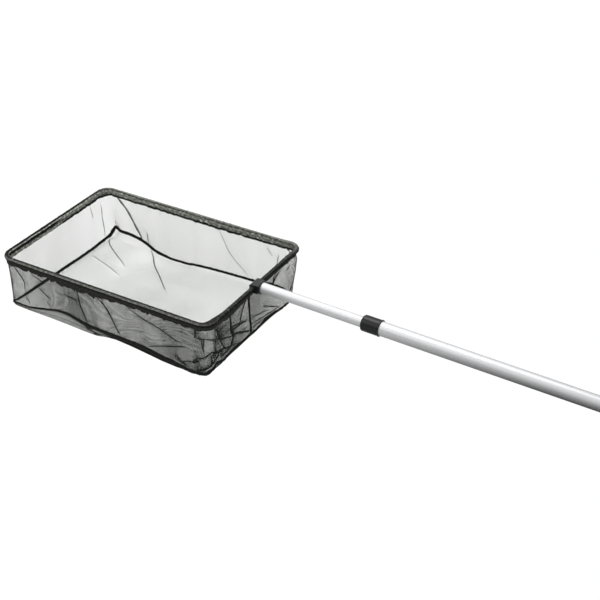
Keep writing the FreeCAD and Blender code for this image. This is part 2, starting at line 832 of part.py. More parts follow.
def end_cap():
    """Plug in the outer tube, with a flat tab and the hanging hole."""
    body = new_body("end_cap")
    face = OUTER_END + dims.joint_gap
    start = face - dims.cap_plug_len
    end = face + dims.cap_len
    outside, plug, bore = dims.cap_dia / 2, dims.cap_plug_dia / 2, dims.cap_plug_bore / 2
    turned(body, "cap", [
        (start, bore), (start, plug - dims.edge_chamfer), (start + dims.edge_chamfer, plug),
        (face, plug), (face, outside), (end, outside), (end, 0),
        (face + dims.cap_bore_cone, 0), (face - dims.cap_bore_cone, bore)])
    fillet(body, "cap_round", round_edge(end, outside), dims.cap_round)

    # The tab's round end is centred on the hanging hole.
    sketch = new_sketch(body, "tab_shape", "XY_Plane")
    half = dims.tab_width / 2
    centre = dims.head_offset
    tab_start = face + dims.tab_root
    draw(sketch, [(tab_start, -half), (centre, -half), (centre + half, 0), (centre, half),
                  (tab_start, half)],
         {1: ((centre, 0), half), 2: ((centre, 0), half)})
    pad(body, "tab", sketch, dims.tab_thick, midplane=True)
    sketch = new_sketch(body, "hole_shape", "XY_Plane")
    circle(sketch, centre, 0, dims.hole_dia / 2)
    pocket(body, "hanging_hole", sketch, dims.tab_thick + dims.overrun * 2, midplane=True)
    fillet(body, "tab_edge", round_edge(centre, half), dims.tab_round)


# --------------------------------------------------------------------- output

for build in (frame_rod, hem_sleeve, hem_stitching, net_side_band, net_bottom_panel,
              bottom_binding, side_seam_tape, connector_body, rod_set_screws, plug_rivet,
              inner_tube, outer_tube, collar, guide_bush, lock_plug, lock_plug_pin,
              lock_expander, lock_cone, lock_stop_ring, hand_grip, end_cap):
    build()

doc.recompute()
bad = []
for obj in doc.Objects:
    if any(word in ("Invalid", "Error") for word in obj.State):
        bad.append("%s %s" % (obj.Name, obj.State))
for body in PARTS:
    if body.Shape.isNull() or not body.Shape.isValid() or not body.Shape.Solids:
        bad.append(body.Label + " has no valid shape")
if bad:
    raise RuntimeError("; ".join(bad))

os.makedirs("parts", exist_ok=True)
for body in PARTS:
    body.Shape.exportStep("parts/%s.step" % body.Label)
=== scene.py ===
"""Hand net: a rounded rectangular rim on a telescopic pole, with a mesh bag under the rim.

In the frame (metres, +Z up) the pole runs along X and the rim is at its -X end, tipped
down away from the pole. The bag is worked out in the rim's own plane in mm: x from the
handle side (0) to the far side (-LENGTH), y across, z up from the rod's centre.
The sides are right (handle side, x = 0), back (+y), left (far side) and front (-y).
A "run" is the distance in mm round the rim, from the front end of the right straight
towards the back.
"""
import bpy
import math
import numpy as np
from mathutils import Matrix, Vector

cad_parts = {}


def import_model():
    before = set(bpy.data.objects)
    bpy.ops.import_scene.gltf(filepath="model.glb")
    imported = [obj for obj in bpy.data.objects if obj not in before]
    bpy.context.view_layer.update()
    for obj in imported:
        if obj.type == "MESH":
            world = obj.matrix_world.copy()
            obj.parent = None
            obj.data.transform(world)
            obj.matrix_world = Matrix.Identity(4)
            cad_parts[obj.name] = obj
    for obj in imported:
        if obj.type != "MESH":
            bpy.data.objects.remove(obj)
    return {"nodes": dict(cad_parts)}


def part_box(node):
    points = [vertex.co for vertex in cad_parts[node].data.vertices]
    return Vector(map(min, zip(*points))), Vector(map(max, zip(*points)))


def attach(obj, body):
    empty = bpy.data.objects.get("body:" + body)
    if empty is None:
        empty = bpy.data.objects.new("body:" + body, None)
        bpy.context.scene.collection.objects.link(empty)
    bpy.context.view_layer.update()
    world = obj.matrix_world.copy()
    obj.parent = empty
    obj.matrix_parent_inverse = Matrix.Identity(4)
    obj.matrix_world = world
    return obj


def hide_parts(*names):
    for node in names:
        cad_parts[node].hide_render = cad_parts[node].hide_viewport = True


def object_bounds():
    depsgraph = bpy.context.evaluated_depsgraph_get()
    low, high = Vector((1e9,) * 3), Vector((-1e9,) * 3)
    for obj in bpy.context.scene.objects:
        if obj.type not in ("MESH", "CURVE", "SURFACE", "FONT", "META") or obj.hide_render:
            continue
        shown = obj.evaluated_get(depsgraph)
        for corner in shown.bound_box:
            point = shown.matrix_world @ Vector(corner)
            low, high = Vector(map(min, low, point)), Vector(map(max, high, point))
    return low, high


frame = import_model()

FRAME_BOX = [list(corner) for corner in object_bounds()]
rng = np.random.RandomState(11)

# ------------------------------------------------------------------ the rim
ROD_RADIUS = 3.5
CORNER = 21.0  # corner radius of the rod's centre line
rod_low, rod_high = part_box("frame_rod")
RIM_DX = (rod_high.x - rod_low.x) * 1000 - 2 * ROD_RADIUS
RIM_DZ = (rod_high.z - rod_low.z) * 1000 - 2 * ROD_RADIUS
LENGTH = math.hypot(RIM_DX, RIM_DZ)
TIP = math.atan2(RIM_DZ, RIM_DX)
COS_TIP, SIN_TIP = math.cos(TIP), math.sin(TIP)
HALF = (rod_high.y - rod_low.y) * 500 - ROD_RADIUS
WIDTH = 2 * HALF
ORIGIN = np.array([rod_high.x * 1000 - ROD_RADIUS, (rod_high.y + rod_low.y) * 500,
                   rod_high.z * 1000 - ROD_RADIUS])

STRAIGHT_X = LENGTH - 2 * CORNER
STRAIGHT_Y = 2 * (HALF - CORNER)
ARC = math.pi * CORNER / 2
LOOP = 2 * STRAIGHT_X + 2 * STRAIGHT_Y + 4 * ARC
# runs where the straights start and end
RIGHT_END = STRAIGHT_Y
BACK_START = RIGHT_END + ARC
BACK_END = BACK_START + STRAIGHT_X
LEFT_START = BACK_END + ARC
LEFT_END = LEFT_START + STRAIGHT_Y
FRONT_START = LEFT_END + ARC
FRONT_END = FRONT_START + STRAIGHT_X
# runs at the middles of the corners
RIGHT_BACK, BACK_LEFT = RIGHT_END + ARC / 2, BACK_END + ARC / 2
LEFT_FRONT, FRONT_RIGHT = LEFT_END + ARC / 2, FRONT_END + ARC / 2

FLAT = HALF - CORNER
# run at the straight's start and end, its first point, outward normal, next corner's centre
RIM_SIDES = [
    (0, RIGHT_END, 0, -FLAT, 1, 0, -CORNER, FLAT),
    (BACK_START, BACK_END, -CORNER, HALF, 0, 1, -LENGTH + CORNER, FLAT),
    (LEFT_START, LEFT_END, -LENGTH, FLAT, -1, 0, -LENGTH + CORNER, -FLAT),
    (FRONT_START, FRONT_END, -LENGTH + CORNER, -HALF, 0, -1, -CORNER, -FLAT),
]


def turn(vectors):
    """Rim-plane direction to frame direction."""
    vectors = np.asarray(vectors, float)
    x, y, z = vectors[..., 0], vectors[..., 1], vectors[..., 2]
    return np.stack([x * COS_TIP - z * SIN_TIP, y, x * SIN_TIP + z * COS_TIP], -1)


def world(points):
    """Rim-plane mm to frame metres."""
    return (turn(points) + ORIGIN) / 1000


# run of a place on each side, from its y (right, left) or x (back, front)
def right(y):
    return y + HALF - CORNER


def back(x):
    return BACK_START - CORNER - x


def left(y):
    return LEFT_START + HALF - CORNER - y


def front(x):
    return FRONT_START + LENGTH - CORNER + x


def rim(run):
    """Plan points and outward normals on the rim line."""
    run = np.mod(np.asarray(run, float), LOOP)
    points, normals = np.zeros((2,) + run.shape + (2,))
    for start, end, x, y, out_x, out_y, centre_x, centre_y in RIM_SIDES:
        # each stretch overwrites all that lies past its start
        past = run >= start
        ahead = run[past] - start
        points[past] = np.stack([x - out_y * ahead, y + out_x * ahead], -1)
        normals[past] = (out_x, out_y)
        past = run >= end
        angle = (run[past] - end) / CORNER
        normals[past] = np.stack([out_x * np.cos(angle) - out_y * np.sin(angle),
                                  out_y * np.cos(angle) + out_x * np.sin(angle)], -1)
        points[past] = (centre_x, centre_y) + CORNER * normals[past]
    return points, normals


def with_z(plan, z=0.0):
    return np.column_stack([plan, np.broadcast_to(z, len(plan))])


def beside(plan, normals, out, z):
    """Points at height z, moved outward from a plan line."""
    return with_z(plan + normals * out[:, None], z)


def ring_gap(run, at):
    return np.mod(run - at + LOOP / 2, LOOP) - LOOP / 2


def lump(run, at, width, power=2):
    """1 at a run, falling to 0 over the width; a higher power gives a flatter top."""
    return np.exp(-(ring_gap(run, at) / width) ** power)


def clamp(values):
    return np.clip(values, 0, 1)


def waves(run, seed, longest, shortest, count=14):
    """Smooth closed noise along the rim, about -1 to 1, with wavelengths in mm."""
    random = np.random.RandomState(seed)
    out = np.zeros_like(np.asarray(run, float))
    total = 0
    for k in range(count):
        length = longest * (shortest / longest) ** (k / (count - 1)) * random.uniform(0.85, 1.15)
        cycles = max(1, round(LOOP / length))
        height = (length / longest) ** 0.35
        out += height * np.sin(2 * math.pi * cycles * run / LOOP + random.uniform(0, 6.28))
        total += height * height
    return out / math.sqrt(total) * 0.8


def ripple(points, seed, longest, shortest, count=18):
    """Smooth noise over a plane, about -1 to 1, with wavelengths in mm."""
    random = np.random.RandomState(seed)
    out = np.zeros(points.shape[:-1])
    total = 0
    for k in range(count):
        length = longest * (shortest / longest) ** (k / (count - 1)) * random.uniform(0.85, 1.15)
        angle = random.uniform(0, math.pi)
        height = (length / longest) ** 0.6
        ahead = points[..., 0] * math.cos(angle) + points[..., 1] * math.sin(angle)
        out += height * np.sin(2 * math.pi * ahead / length + random.uniform(0, 6.28))
        total += height * height
    return out / math.sqrt(total) * 0.8


# ------------------------------------------------------------------ the bottom seam
# run, height
SEAM = [
    (-8, -92.6), (0, -84.6), (12, -88.8), (21, -91.8), (41, -88.8), (60, -87.8), (80, -90.6),
    (109, -89.4), (129, -92), (149, -89), (168, -89), (188, -91.2), (207, -95.8), (227, -97.2),
    (237, -98), (246, -95), (256, -96), (266, -99), (276, -101), (287, -104), (309, -101.2),
    (331, -101), (365, -105.8), (398, -106.6), (431, -107.9), (453, -109.0), (476, -110.2),
    (498, -112.2), (512, -113.2), (520, -115.8), (564, -116.8), (586, -113.5), (598, -111.5),
    (609, -106.5), (620, -100.5), (631, -96.2), (642, -93), (664, -89.8), (686, -90), (697, -89),
    (706, -84), (712, -92), (718, -103), (728, -108.2), (755, -111.6), (795, -111.3),
    (850, -109.2), (903, -107.8), (930, -106.8), (957, -106.6), (984, -105.4), (993, -101),
    (1003, -96.5), (1015, -92.4), (1049, -92), (1071, -87), (1094, -81.3), (1116, -76.3),
    (1139, -75.8), (1162, -81.4), (1184, -85.5), (1218, -87), (1252, -87.4), (1297, -88.5),
    (1320, -91.6), (1342, -95.6), (1365, -97.2), (1387, -101.5), (1405, -102.8), (1421, -100.5),
    (1433, -99), (1440, -94),
]
# corner, shift of the seam in x and y, reach along the run
CORNER_PULLS = [(RIGHT_BACK, -4, -9, 24), (BACK_LEFT, 6.0, 7, 17),
                (LEFT_FRONT, 0, 0, 20), (FRONT_RIGHT, 0.5, -2, 26)]
# half thickness of the binding: run, mm
GIRTH = [
    (right(-150), 2.0), (right(-60), 1.9), (right(-40), 1.7), (right(120), 1.9),
    (back(-20), 2.15), (back(-290), 2.0), (back(-315), 2.5), (back(-440), 2.6),
    (left(150), 2.8), (left(-60), 2.7), (left(-130), 2.1), (front(-445), 1.4),
    (front(-400), 1.2), (front(-345), 1.5), (front(-320), 1.9), (front(-270), 2.5),
    (front(-180), 2.7), (front(-70), 2.8), (front(-30), 2.6), (right(-150) + LOOP, 2.0),
]
PANEL_DROP = 1.1  # depth of the bottom panel's edge below the seam, in binding half thicknesses


def smoothed(values, reach, width):
    weights = np.exp(-(np.arange(-reach, reach + 1) / width) ** 2)
    return np.convolve(values, weights / weights.sum(), "same")


seam_runs, seam_heights = np.array(SEAM, float).T
seam_runs = np.concatenate([seam_runs - LOOP, seam_runs, seam_runs + LOOP])
fine_runs = np.arange(-60, LOOP + 60, 1.0)
raw_heights = np.interp(fine_runs, seam_runs, np.tile(seam_heights, 3))
close_heights = smoothed(raw_heights, reach=8, width=2.0)
broad_heights = smoothed(raw_heights, reach=40, width=14.0)


def girth(run):
    """Half thickness of the bottom binding round the bag."""
    first = GIRTH[0][0]
    return np.interp(np.mod(run - first, LOOP) + first, *zip(*GIRTH))


def seam_z(run):
    return np.interp(np.mod(run, LOOP), fine_runs, close_heights)


def seam_even(run):
    """Height of the seam without its small bumps; the panel inside follows this."""
    return np.interp(np.mod(run, LOOP), fine_runs, broad_heights) - PANEL_DROP * girth(run)


def seam_plan(run):
    plan, normals = rim(run)
    for at, shift_x, shift_y, width in CORNER_PULLS:
        near = lump(run, at, width)
        plan[..., 0] += shift_x * near
        plan[..., 1] += shift_y * near
    return plan, normals


def seam_point(run, drop=0.0):
    plan, normals = seam_plan(run)
    return with_z(plan, seam_z(run) - drop), normals


# ------------------------------------------------------------------ folds in the cloth
# side, points (x or y along the side, height), darkness of the painted fold shade, ridge height,
# ridge width
WALL_FOLDS = [
    (back, [(-426, -9), (-411, -23), (-397, -37), (-384, -58), (-366, -93), (-354, -117)],
     2.2, 3.2, 2.0),
    (back, [(-349, -74), (-348, -99)], 0.9, 2.0, 1.8),
    (back, [(-178, -19), (-159, -57), (-149, -68), (-113, -102)], 0.32, 2.2, 1.8),
    (back, [(-71, -24), (-60, -40)], 0.25, 1.6, 2.2),
    (back, [(-46, -32), (-51, -66), (-55, -92)], 0.8, 1.8, 1.8),
    (back, [(-432, -68), (-433, -90)], 0.2, 1.2, 2.0),
    (left, [(129, -27), (127, -57), (129, -102)], 0.6, 2.4, 1.8),
    (left, [(97, -17), (102, -47)], 0.25, 1.5, 2.0),
    (right, [(84, -17), (69, -25), (60, -36)], 1.1, 2.4, 2.0),
    (right, [(62, -13), (61, -24), (60, -36)], 1.0, 1.8, 1.8),
    (right, [(-30, -13), (-41, -29), (-48, -42), (-54, -46)], 0.85, 2.2, 1.7),
    (right, [(-86, -13), (-86, -37), (-81, -50), (-81, -59), (-85, -69), (-94, -74),
             (-104, -79), (-111, -84)], 1.6, 3.0, 2.6),
    (right, [(-132, -12), (-126, -20), (-124, -28), (-116, -47), (-105, -65), (-101, -73)],
     0.47, 2.2, 1.8),
    (right, [(-158, -27), (-146, -27), (-121, -38), (-99, -49), (-78, -58), (-57, -67),
             (-39, -72), (-27, -77)], 0.62, 2.2, 1.8),
    (right, [(-177, -80), (-165, -69), (-151, -63), (-140, -54), (-122, -59), (-105, -65),
             (-80, -77), (-59, -87)], 0.66, 2.2, 1.8),
    (right, [(-151, -30), (-152, -37), (-155, -48), (-155, -57)], 0.31, 1.6, 1.8),
    (right, [(-157, -30), (-158, -40), (-157, -50)], 0.23, 1.4, 1.8),
    (right, [(-138, -65), (-131, -63), (-115, -70), (-103, -72)], 0.66, 2.0, 2.0),
    (right, [(-138, -65), (-139, -74), (-137, -85)], 0.62, 2.0, 2.0),
    (right, [(-112, -74), (-120, -74), (-132, -77), (-139, -81), (-151, -89), (-163, -97)],
     0.58, 2.0, 2.0),
    (right, [(-177, -87), (-163, -75)], 0.27, 1.5, 1.8),
    (right, [(-164, -96), (-152, -85)], 0.39, 1.5, 1.8),
    (right, [(-152, -94), (-141, -86), (-134, -80)], 0.47, 1.6, 1.8),
    (right, [(-109, -77), (-119, -82)], 0.47, 1.5, 1.8),
    (right, [(-128, -72), (-122, -68), (-112, -70)], 0.47, 1.6, 1.8),
    (right, [(-130, -80), (-124, -77), (-115, -79)], 0.47, 1.6, 1.8),
    (right, [(-82, -35), (-55, -42), (-32, -52)], 0.45, 1.8, 2.6),
    (right, [(-77, -48), (-52, -52), (-30, -56)], 0.5, 1.8, 2.6),
    (right, [(-75, -58), (-48, -68), (-29, -69)], 0.7, 1.8, 1.8),
    (right, [(-54, -71), (-25, -82)], 0.75, 1.8, 1.6),
    (right, [(-20, -68), (11, -75), (63, -84), (79, -89)], 0.8, 2.0, 1.8),
    (right, [(-15, -79), (42, -87), (68, -91)], 0.65, 1.8, 1.6),
    (right, [(29, -59), (51, -71), (75, -86)], 0.5, 2.0, 2.0),
    (right, [(-12, -60), (20, -68), (46, -76)], 0.4, 1.8, 2.2),
    (right, [(113, -73), (123, -63)], 0.4, 1.5, 1.8),
    (right, [(101, -23), (110, -17)], 0.6, 1.5, 1.8),
    (front, [(-424, -11), (-402, -42), (-403, -56)], 0.85, 2.2, 1.8),
    (front, [(-377, -15), (-347, -26)], 0.6, 1.6, 1.8),
    (front, [(-368, -44), (-342, -59)], 0.6, 1.6, 1.8),
    (front, [(-402, -73), (-393, -85)], 0.6, 1.5, 1.8),
    (front, [(-353, -69), (-344, -75)], 0.4, 1.5, 1.8),
    (front, [(-307, -35), (-279, -38)], 0.4, 1.5, 1.8),
    (front, [(-274, -15), (-270, -46), (-258, -78)], 0.9, 2.4, 1.8),
    (front, [(-234, -21), (-215, -38), (-206, -53), (-198, -71), (-189, -82)], 1.35, 2.6, 1.9),
    (front, [(-220, -14), (-214, -33)], 0.6, 1.8, 1.7),
    (front, [(-167, -18), (-151, -26), (-132, -32), (-114, -38), (-68, -50), (-58, -50)],
     0.7, 2.0, 1.8),
    (front, [(-127, -85), (-82, -69), (-48, -57)], 0.5, 2.0, 1.8),
    (front, [(-30, -11), (-28, -18), (-31, -31)], 0.6, 1.6, 1.8),
    (front, [(-69, -82), (-66, -89), (-60, -92), (-50, -97)], 0.8, 1.8, 1.8),
    (front, [(-60, -89), (-46, -83), (-36, -80)], 0.35, 1.6, 1.8),
]
folds = [([(side(place), z) for place, z in line], *sizes) for side, line, *sizes in WALL_FOLDS]
# short gathers all along the hem (even ones) and the bottom seam (odd ones)
for i in range(54):
    start = rng.uniform(0, LOOP)
    if i % 2:
        top, rise = -14.0, -rng.uniform(5, 15)
    else:
        top, rise = float(seam_z(start)) + 1, rng.uniform(5, 14)
    folds.append(([(start, top), (start + rng.uniform(-5, 5), top + rise)],
                  rng.uniform(0.03, 0.10), rng.uniform(0.3, 0.7), rng.uniform(1.8, 3.0)))

# points (x, y), darkness of the painted fold shade, ridge height, ridge width
PANEL_FOLDS = [
    ([(-435, 136), (-410, 119), (-381, 99), (-348, 78)], 0.6, 2.4, 2.0),
    ([(-346, 150), (-330, 141), (-287, 102), (-234, 47)], 0.95, 2.6, 2.0),
    ([(-423, 75), (-334, 42)], 0.2, 1.8, 2.4),
    ([(-278, -149.8), (-264, -148.9), (-249, -147.4), (-232, -146)], 0.8, 0.3, 1.0),
    ([(-330, -20), (-250, -55), (-180, -60)], 0.08, 2.0, 6.0),
]
FOLD_REACH = 45  # mm beyond a fold's ends that it can affect


def fold_effect(places, lines, loop=None):
    """For places (N, 2): ridge height, in-plane pull toward the fold, darkness (painted shade
    along the fold).
    """
    height, dark = np.zeros((2, len(places)))
    pull = np.zeros((len(places), 2))
    for line, tone, ridge, wide in lines:
        line = np.array(line, float)
        first = places[:, 0]
        if loop:
            middle = line[:, 0].mean()
            first = np.mod(first - middle + loop / 2, loop) - loop / 2 + middle
        local = np.stack([first, places[:, 1]], -1)
        near = ((local > line.min(0) - FOLD_REACH) & (local < line.max(0) + FOLD_REACH)).all(1)
        if not near.any():
            continue
        local = local[near]
        steps = np.hypot(*(line[1:] - line[:-1]).T)
        walked = 0.0
        gap = np.full(len(local), 1e9)
        away = np.zeros((len(local), 2))
        along = np.zeros(len(local))
        for start, end, step in zip(line[:-1], line[1:], steps):
            part = clamp(((local - start) @ (end - start)) / step ** 2)
            offset = local - (start + part[:, None] * (end - start))
            distance = np.hypot(offset[:, 0], offset[:, 1])
            closer = distance < gap
            gap[closer] = distance[closer]
            away[closer] = offset[closer]
            along[closer] = (walked + part[closer] * step) / steps.sum()
            walked += step
        # folds die out at both ends; each is raised or sunk by where it starts
        fade = clamp(along / 0.12 + 0.35) * clamp((1 - along) / 0.18 + 0.15)
        way = 1 if (line[0, 0] * 0.37 + line[0, 1]) % 2 < 1.2 else -1
        height[near] += way * ridge * fade * (0.8 * np.exp(-(gap / wide) ** 2)
                                              + 0.5 * np.exp(-(gap / (wide * 5)) ** 2))
        tone = min(tone, 1.0)
        # painted shade along the fold: a dark core, partly standing for the denser gathered mesh,
        # then a faint wider painted shade
        for share, reach in ((1, 0.72), (0.13, 3.2)):
            shade_here = share * tone * fade * np.exp(-(gap / (wide * reach)) ** 2)
            dark[near] = np.maximum(dark[near], shade_here)
        shift = (2.0 * min(1.0, tone + 0.2) * (1 - np.exp(-gap / 2.6))
                 * np.exp(-(gap / 20.0) ** 2) * fade)
        pull[near] -= away / np.maximum(gap, 1e-6)[:, None] * shift[:, None]
    return height, pull, dark


# ------------------------------------------------------------------ the bag's shape
TOP = -8.6  # height where the wall leaves the hem


def depth_at(z, low):
    """Share of the way down the wall, 0 at the hem to 1 at the seam."""
    return clamp((z - TOP) / (low - TOP))


def wall(run, z):
    """Points, outward normals and darkness (painted fold shade) of the wall cloth, for flat
    arrays.
    """
    height, pull, dark = fold_effect(np.stack([run, z], -1), folds, LOOP)
    depth = depth_at(z, seam_z(run))
    keep = clamp(np.minimum(depth, 1 - depth) / 0.05)  # 0 at the sewn edges
    run = run + pull[:, 0] * keep
    z = z + pull[:, 1] * keep
    low = seam_z(run)
    depth = depth_at(z, low)
    upper, normals = rim(run)
    lower, _ = seam_plan(run)
    plan = upper * (1 - depth[:, None]) + lower * depth[:, None]
    # sag between the edges, folds, and a bulge near the back end of the handle side
    out = np.sin(math.pi * depth) * (-1.0 + 1.0 * waves(run, 3, 150, 60, 8)
                                     + 0.22 * ripple(np.stack([run, z], -1), 5, 60, 22))
    out += keep * height * 0.8
    out += 4.5 * lump(run, right(136), 24) * clamp(depth / 0.12) * clamp((1 - depth) / 0.6)
    return beside(plan, normals, out, TOP + (low - TOP) * depth), with_z(normals), dark


# height at which the bottom panel turns in under the front seam: x, height
LIP = [(-445, -100), (-437, -101), (-400, -102), (-350, -102), (-300, -103.5), (-245, -104),
       (-216, -98.5), (-200, -97), (-170, -99), (-138, -102.5), (-100, -107), (-70, -108.5),
       (-40, -107), (-20, -104.5), (0, -104)]


def ease(distance, width):
    part = clamp(distance / width)
    return part * part * (3 - 2 * part)


def panel_edge(run):
    """Columns: the panel's edge point x, y, z, and the even height of the seam."""
    return np.column_stack([seam_point(run, PANEL_DROP * girth(run))[0], seam_even(run)])


def from_edges(x_part, y_part):
    """Fills the unit square from the four edges; columns as in panel_edge."""
    near, handle, far, rear = LEFT_FRONT, FRONT_RIGHT - LOOP, BACK_LEFT, RIGHT_BACK
    front_edge = panel_edge(near + x_part * (handle + LOOP - near))
    right_edge = panel_edge(handle + y_part * (rear - handle))
    back_edge = panel_edge(far + x_part * (rear - far))
    left_edge = panel_edge(near + y_part * (far - near))
    corners = [panel_edge(np.array([run])) for run in (near, handle, far, rear)]
    x, y = x_part[:, None], y_part[:, None]
    return ((1 - y) * front_edge + y * back_edge + (1 - x) * left_edge + x * right_edge
            - ((1 - x) * (1 - y) * corners[0] + x * (1 - y) * corners[1]
               + (1 - x) * y * corners[2] + x * y * corners[3]))


def panel(x_part, y_part):
    """Bottom panel over the unit square: points, darkness (painted fold shade), and how far in
    from the edge.
    """
    filled = from_edges(x_part, y_part)
    points, edge_z = filled[:, :3], filled[:, 3]
    plan = np.stack([-LENGTH + x_part * LENGTH, -HALF + y_part * 2 * HALF], -1)
    height, pull, dark = fold_effect(plan, PANEL_FOLDS)
    from_left, from_right = x_part * LENGTH, (1 - x_part) * LENGTH
    from_front, from_back = y_part * 2 * HALF, (1 - y_part) * 2 * HALF
    nearest = np.minimum(np.minimum(from_left, from_right),
                         np.minimum(y_part, 1 - y_part) * 2 * HALF)
    edge = clamp(nearest / 10)
    points[:, :2] += pull * edge[:, None]
    inside = (ease(from_left, 9) * ease(from_right, 11) * ease(from_front, 4.5)
              * ease(from_back, 9))
    # the middle sags, more toward the back, and stays softly below the even seam height
    far = ease(y_part - 0.40, 0.6)
    level = (-102.5 - 2.5 * np.sin(math.pi * x_part) * np.sin(math.pi * y_part)
             - 9.0 * np.exp(-((x_part - 0.47) / 0.42) ** 2) * far)
    level += 0.6 * ripple(plan, 21, 150, 70)
    room = (edge_z - 1.2 - level) / 5.0
    level = level - 5.0 * np.log1p(np.exp(-np.clip(room, -30, 30)))
    lip = np.interp(plan[:, 0], *zip(*LIP))
    past_lip = ease(from_front, 90)
    level = lip * (1 - past_lip) + level * past_lip
    points[:, 2] = points[:, 2] * (1 - inside) + level * inside + height * edge
    return points, dark, inside


# ------------------------------------------------------------------ mesh helpers
def thin(points, dark, tolerance):
    """Mask without the polyline points that lie within tolerance of the line left."""
    keep = np.zeros(len(points), bool)
    keep[0] = keep[-1] = True
    stack = [(0, len(points) - 1)]
    while stack:
        first, last = stack.pop()
        if last - first < 2:
            continue
        chord = points[last] - points[first]
        inner = points[first + 1:last] - points[first]
        part = clamp(inner @ chord / max(1e-9, chord @ chord))
        gap = np.sqrt(((inner - part[:, None] * chord) ** 2).sum(1))
        dark_line = dark[first] + part * (dark[last] - dark[first])
        error = np.maximum(gap, np.abs(dark[first + 1:last] - dark_line) * 1.4)
        worst = int(error.argmax())
        if error[worst] > tolerance:
            middle = first + 1 + worst
            keep[middle] = True
            stack += [(first, middle), (middle, last)]
    return keep


def unit(vectors):
    return vectors / np.maximum(1e-9, np.linalg.norm(vectors, axis=1))[:, None]


def axes(path, normals, closed=False):
    """Tangent, side and up of a path whose up leans to the normals."""
    if closed:
        tangent = unit(np.roll(path, -1, 0) - np.roll(path, 1, 0))
    else:
        tangent = unit(np.gradient(path, axis=0))
    side = unit(np.cross(tangent, normals))
    return tangent, side, np.cross(side, tangent)


def sweep(path, side, up, across, out):
    """Rings (K, M, 3) round a path, from offsets (K, M) along side and up."""
    return path[:, None] + side[:, None] * across[..., None] + up[:, None] * out[..., None]


def relax(points, times):
    for _ in range(times):
        points[1:-1] = 0.25 * points[:-2] + 0.5 * points[1:-1] + 0.25 * points[2:]


class Pile:
    """Collects tubes and threads, then makes one mesh object."""

    def __init__(self):
        self.points, self.faces, self.slots, self.tones = [], [], [], []
        self.total = 0

    def add(self, points, faces, slots, tones):
        self.points.append(points)
        self.faces.append(np.asarray(faces, np.int64) + self.total)
        self.slots.append(slots)
        self.tones.append(tones)
        self.total += len(points)

    def thread(self, keep, path, normals, width, dark, closed=False):
        """Three-sided thread: one face inward (slot 1, painted pale light), two outward (slot 0).
        """
        path, normals, width, dark = path[keep], normals[keep], width[keep], dark[keep]
        _, side, up = axes(path, normals, closed)
        half = width[:, None] / 2
        deep = (width * 0.85)[:, None]
        base = path - up * deep / 3
        points = np.stack([base - side * half, base + side * half, path + up * deep * 2 / 3], 1)
        count = len(path)
        i = np.arange(count if closed else count - 1)
        j = (i + 1) % count
        faces = [np.stack([i * 3 + b, i * 3 + a, j * 3 + a, j * 3 + b], 1)
                 for a, b in ((0, 1), (1, 2), (2, 0))]
        slots = np.repeat([1, 0, 0], len(i))
        if not closed:
            last = 3 * count - 1
            faces.append(np.array([[0, 1, 2, 2], [last, last - 1, last - 2, last - 2]]))
            slots = np.concatenate([slots, [0, 0]])
        self.add(points.reshape(-1, 3), np.concatenate(faces), slots, np.repeat(dark, 3))

    def tube(self, rings, closed=False, tone=None):
        """Rings (K, M, 3) joined into a skin, capped if open."""
        count, sides = rings.shape[:2]
        points = rings.reshape(-1, 3)
        i = np.arange(count if closed else count - 1)[:, None]
        j = (i + 1) % count
        a = np.arange(sides)
        b = (a + 1) % sides
        faces = np.stack([i * sides + a, i * sides + b, j * sides + b, j * sides + a],
                         -1).reshape(-1, 4)
        tones = np.zeros(len(points)) if tone is None else tone.ravel()
        if not closed:
            centres = [rings[0].mean(0), rings[-1].mean(0)]
            ends = [tones[:sides].mean(), tones[-sides:].mean()]
            points = np.concatenate([points, centres])
            tones = np.concatenate([tones, ends])
            first = np.full(sides, count * sides)
            last = first + 1
            shift = (count - 1) * sides
            faces = np.concatenate([faces, np.stack([b, a, first, first], 1),
                                    np.stack([shift + a, shift + b, last, last], 1)])
        self.add(points, faces, np.zeros(len(faces), int), tones)

    def cord(self, path, normals, radius, sides):
        """Round cord along a path."""
        _, side, up = axes(path, normals)
        angles = np.arange(sides) * 2 * math.pi / sides
        radius = np.broadcast_to(np.asarray(radius, float), (len(path),))
        self.tube(sweep(path, side, up, np.outer(radius, np.cos(angles)),
                        np.outer(radius, np.sin(angles))))

    def build(self, name, materials, smooth):
        points = world(np.concatenate(self.points)).astype(np.float32)
        faces = np.concatenate(self.faces)
        # a triangle repeats its third corner
        triangle = faces[:, 2] == faces[:, 3]
        sizes = np.where(triangle, 3, 4)
        used = np.repeat(~triangle, 4) | np.tile([True, True, True, False], len(faces))
        loops = faces.ravel()[used].astype(np.int32)
        starts = np.concatenate([[0], np.cumsum(sizes)[:-1]]).astype(np.int32)
        mesh = bpy.data.meshes.new(name)
        mesh.vertices.add(len(points))
        mesh.vertices.foreach_set("co", points.ravel())
        mesh.loops.add(len(loops))
        mesh.loops.foreach_set("vertex_index", loops)
        mesh.polygons.add(len(faces))
        mesh.polygons.foreach_set("loop_start", starts)
        mesh.polygons.foreach_set("material_index", np.concatenate(self.slots).astype(np.int32))
        mesh.polygons.foreach_set("use_smooth", np.full(len(faces), smooth))
        mesh.update(calc_edges=True)
        mesh.validate()
        # tone: on the net, painted shade along the folds; on the hem, painted light and shade
        # round the rod
        tone = mesh.attributes.new("tone", "FLOAT", "POINT")
        tone.data.foreach_set("value", np.concatenate(self.tones).astype(np.float32))
        for mat in materials:
            mesh.materials.append(mat)
        built = bpy.data.objects.new(name, mesh)
        bpy.context.scene.collection.objects.link(built)
        return built

    def fit(self, name, materials, piece, smooth=True):
        """Builds the object in place of a frame piece; it moves with the inner pole."""
        built = self.build(name, materials, smooth)
        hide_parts(piece)
        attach(built, "inner_pole")


# ------------------------------------------------------------------ material helpers
def clear_tree(block, output_kind):
    block.use_nodes = True
    tree = block.node_tree
    tree.nodes.clear()
    return tree, node(tree, output_kind)


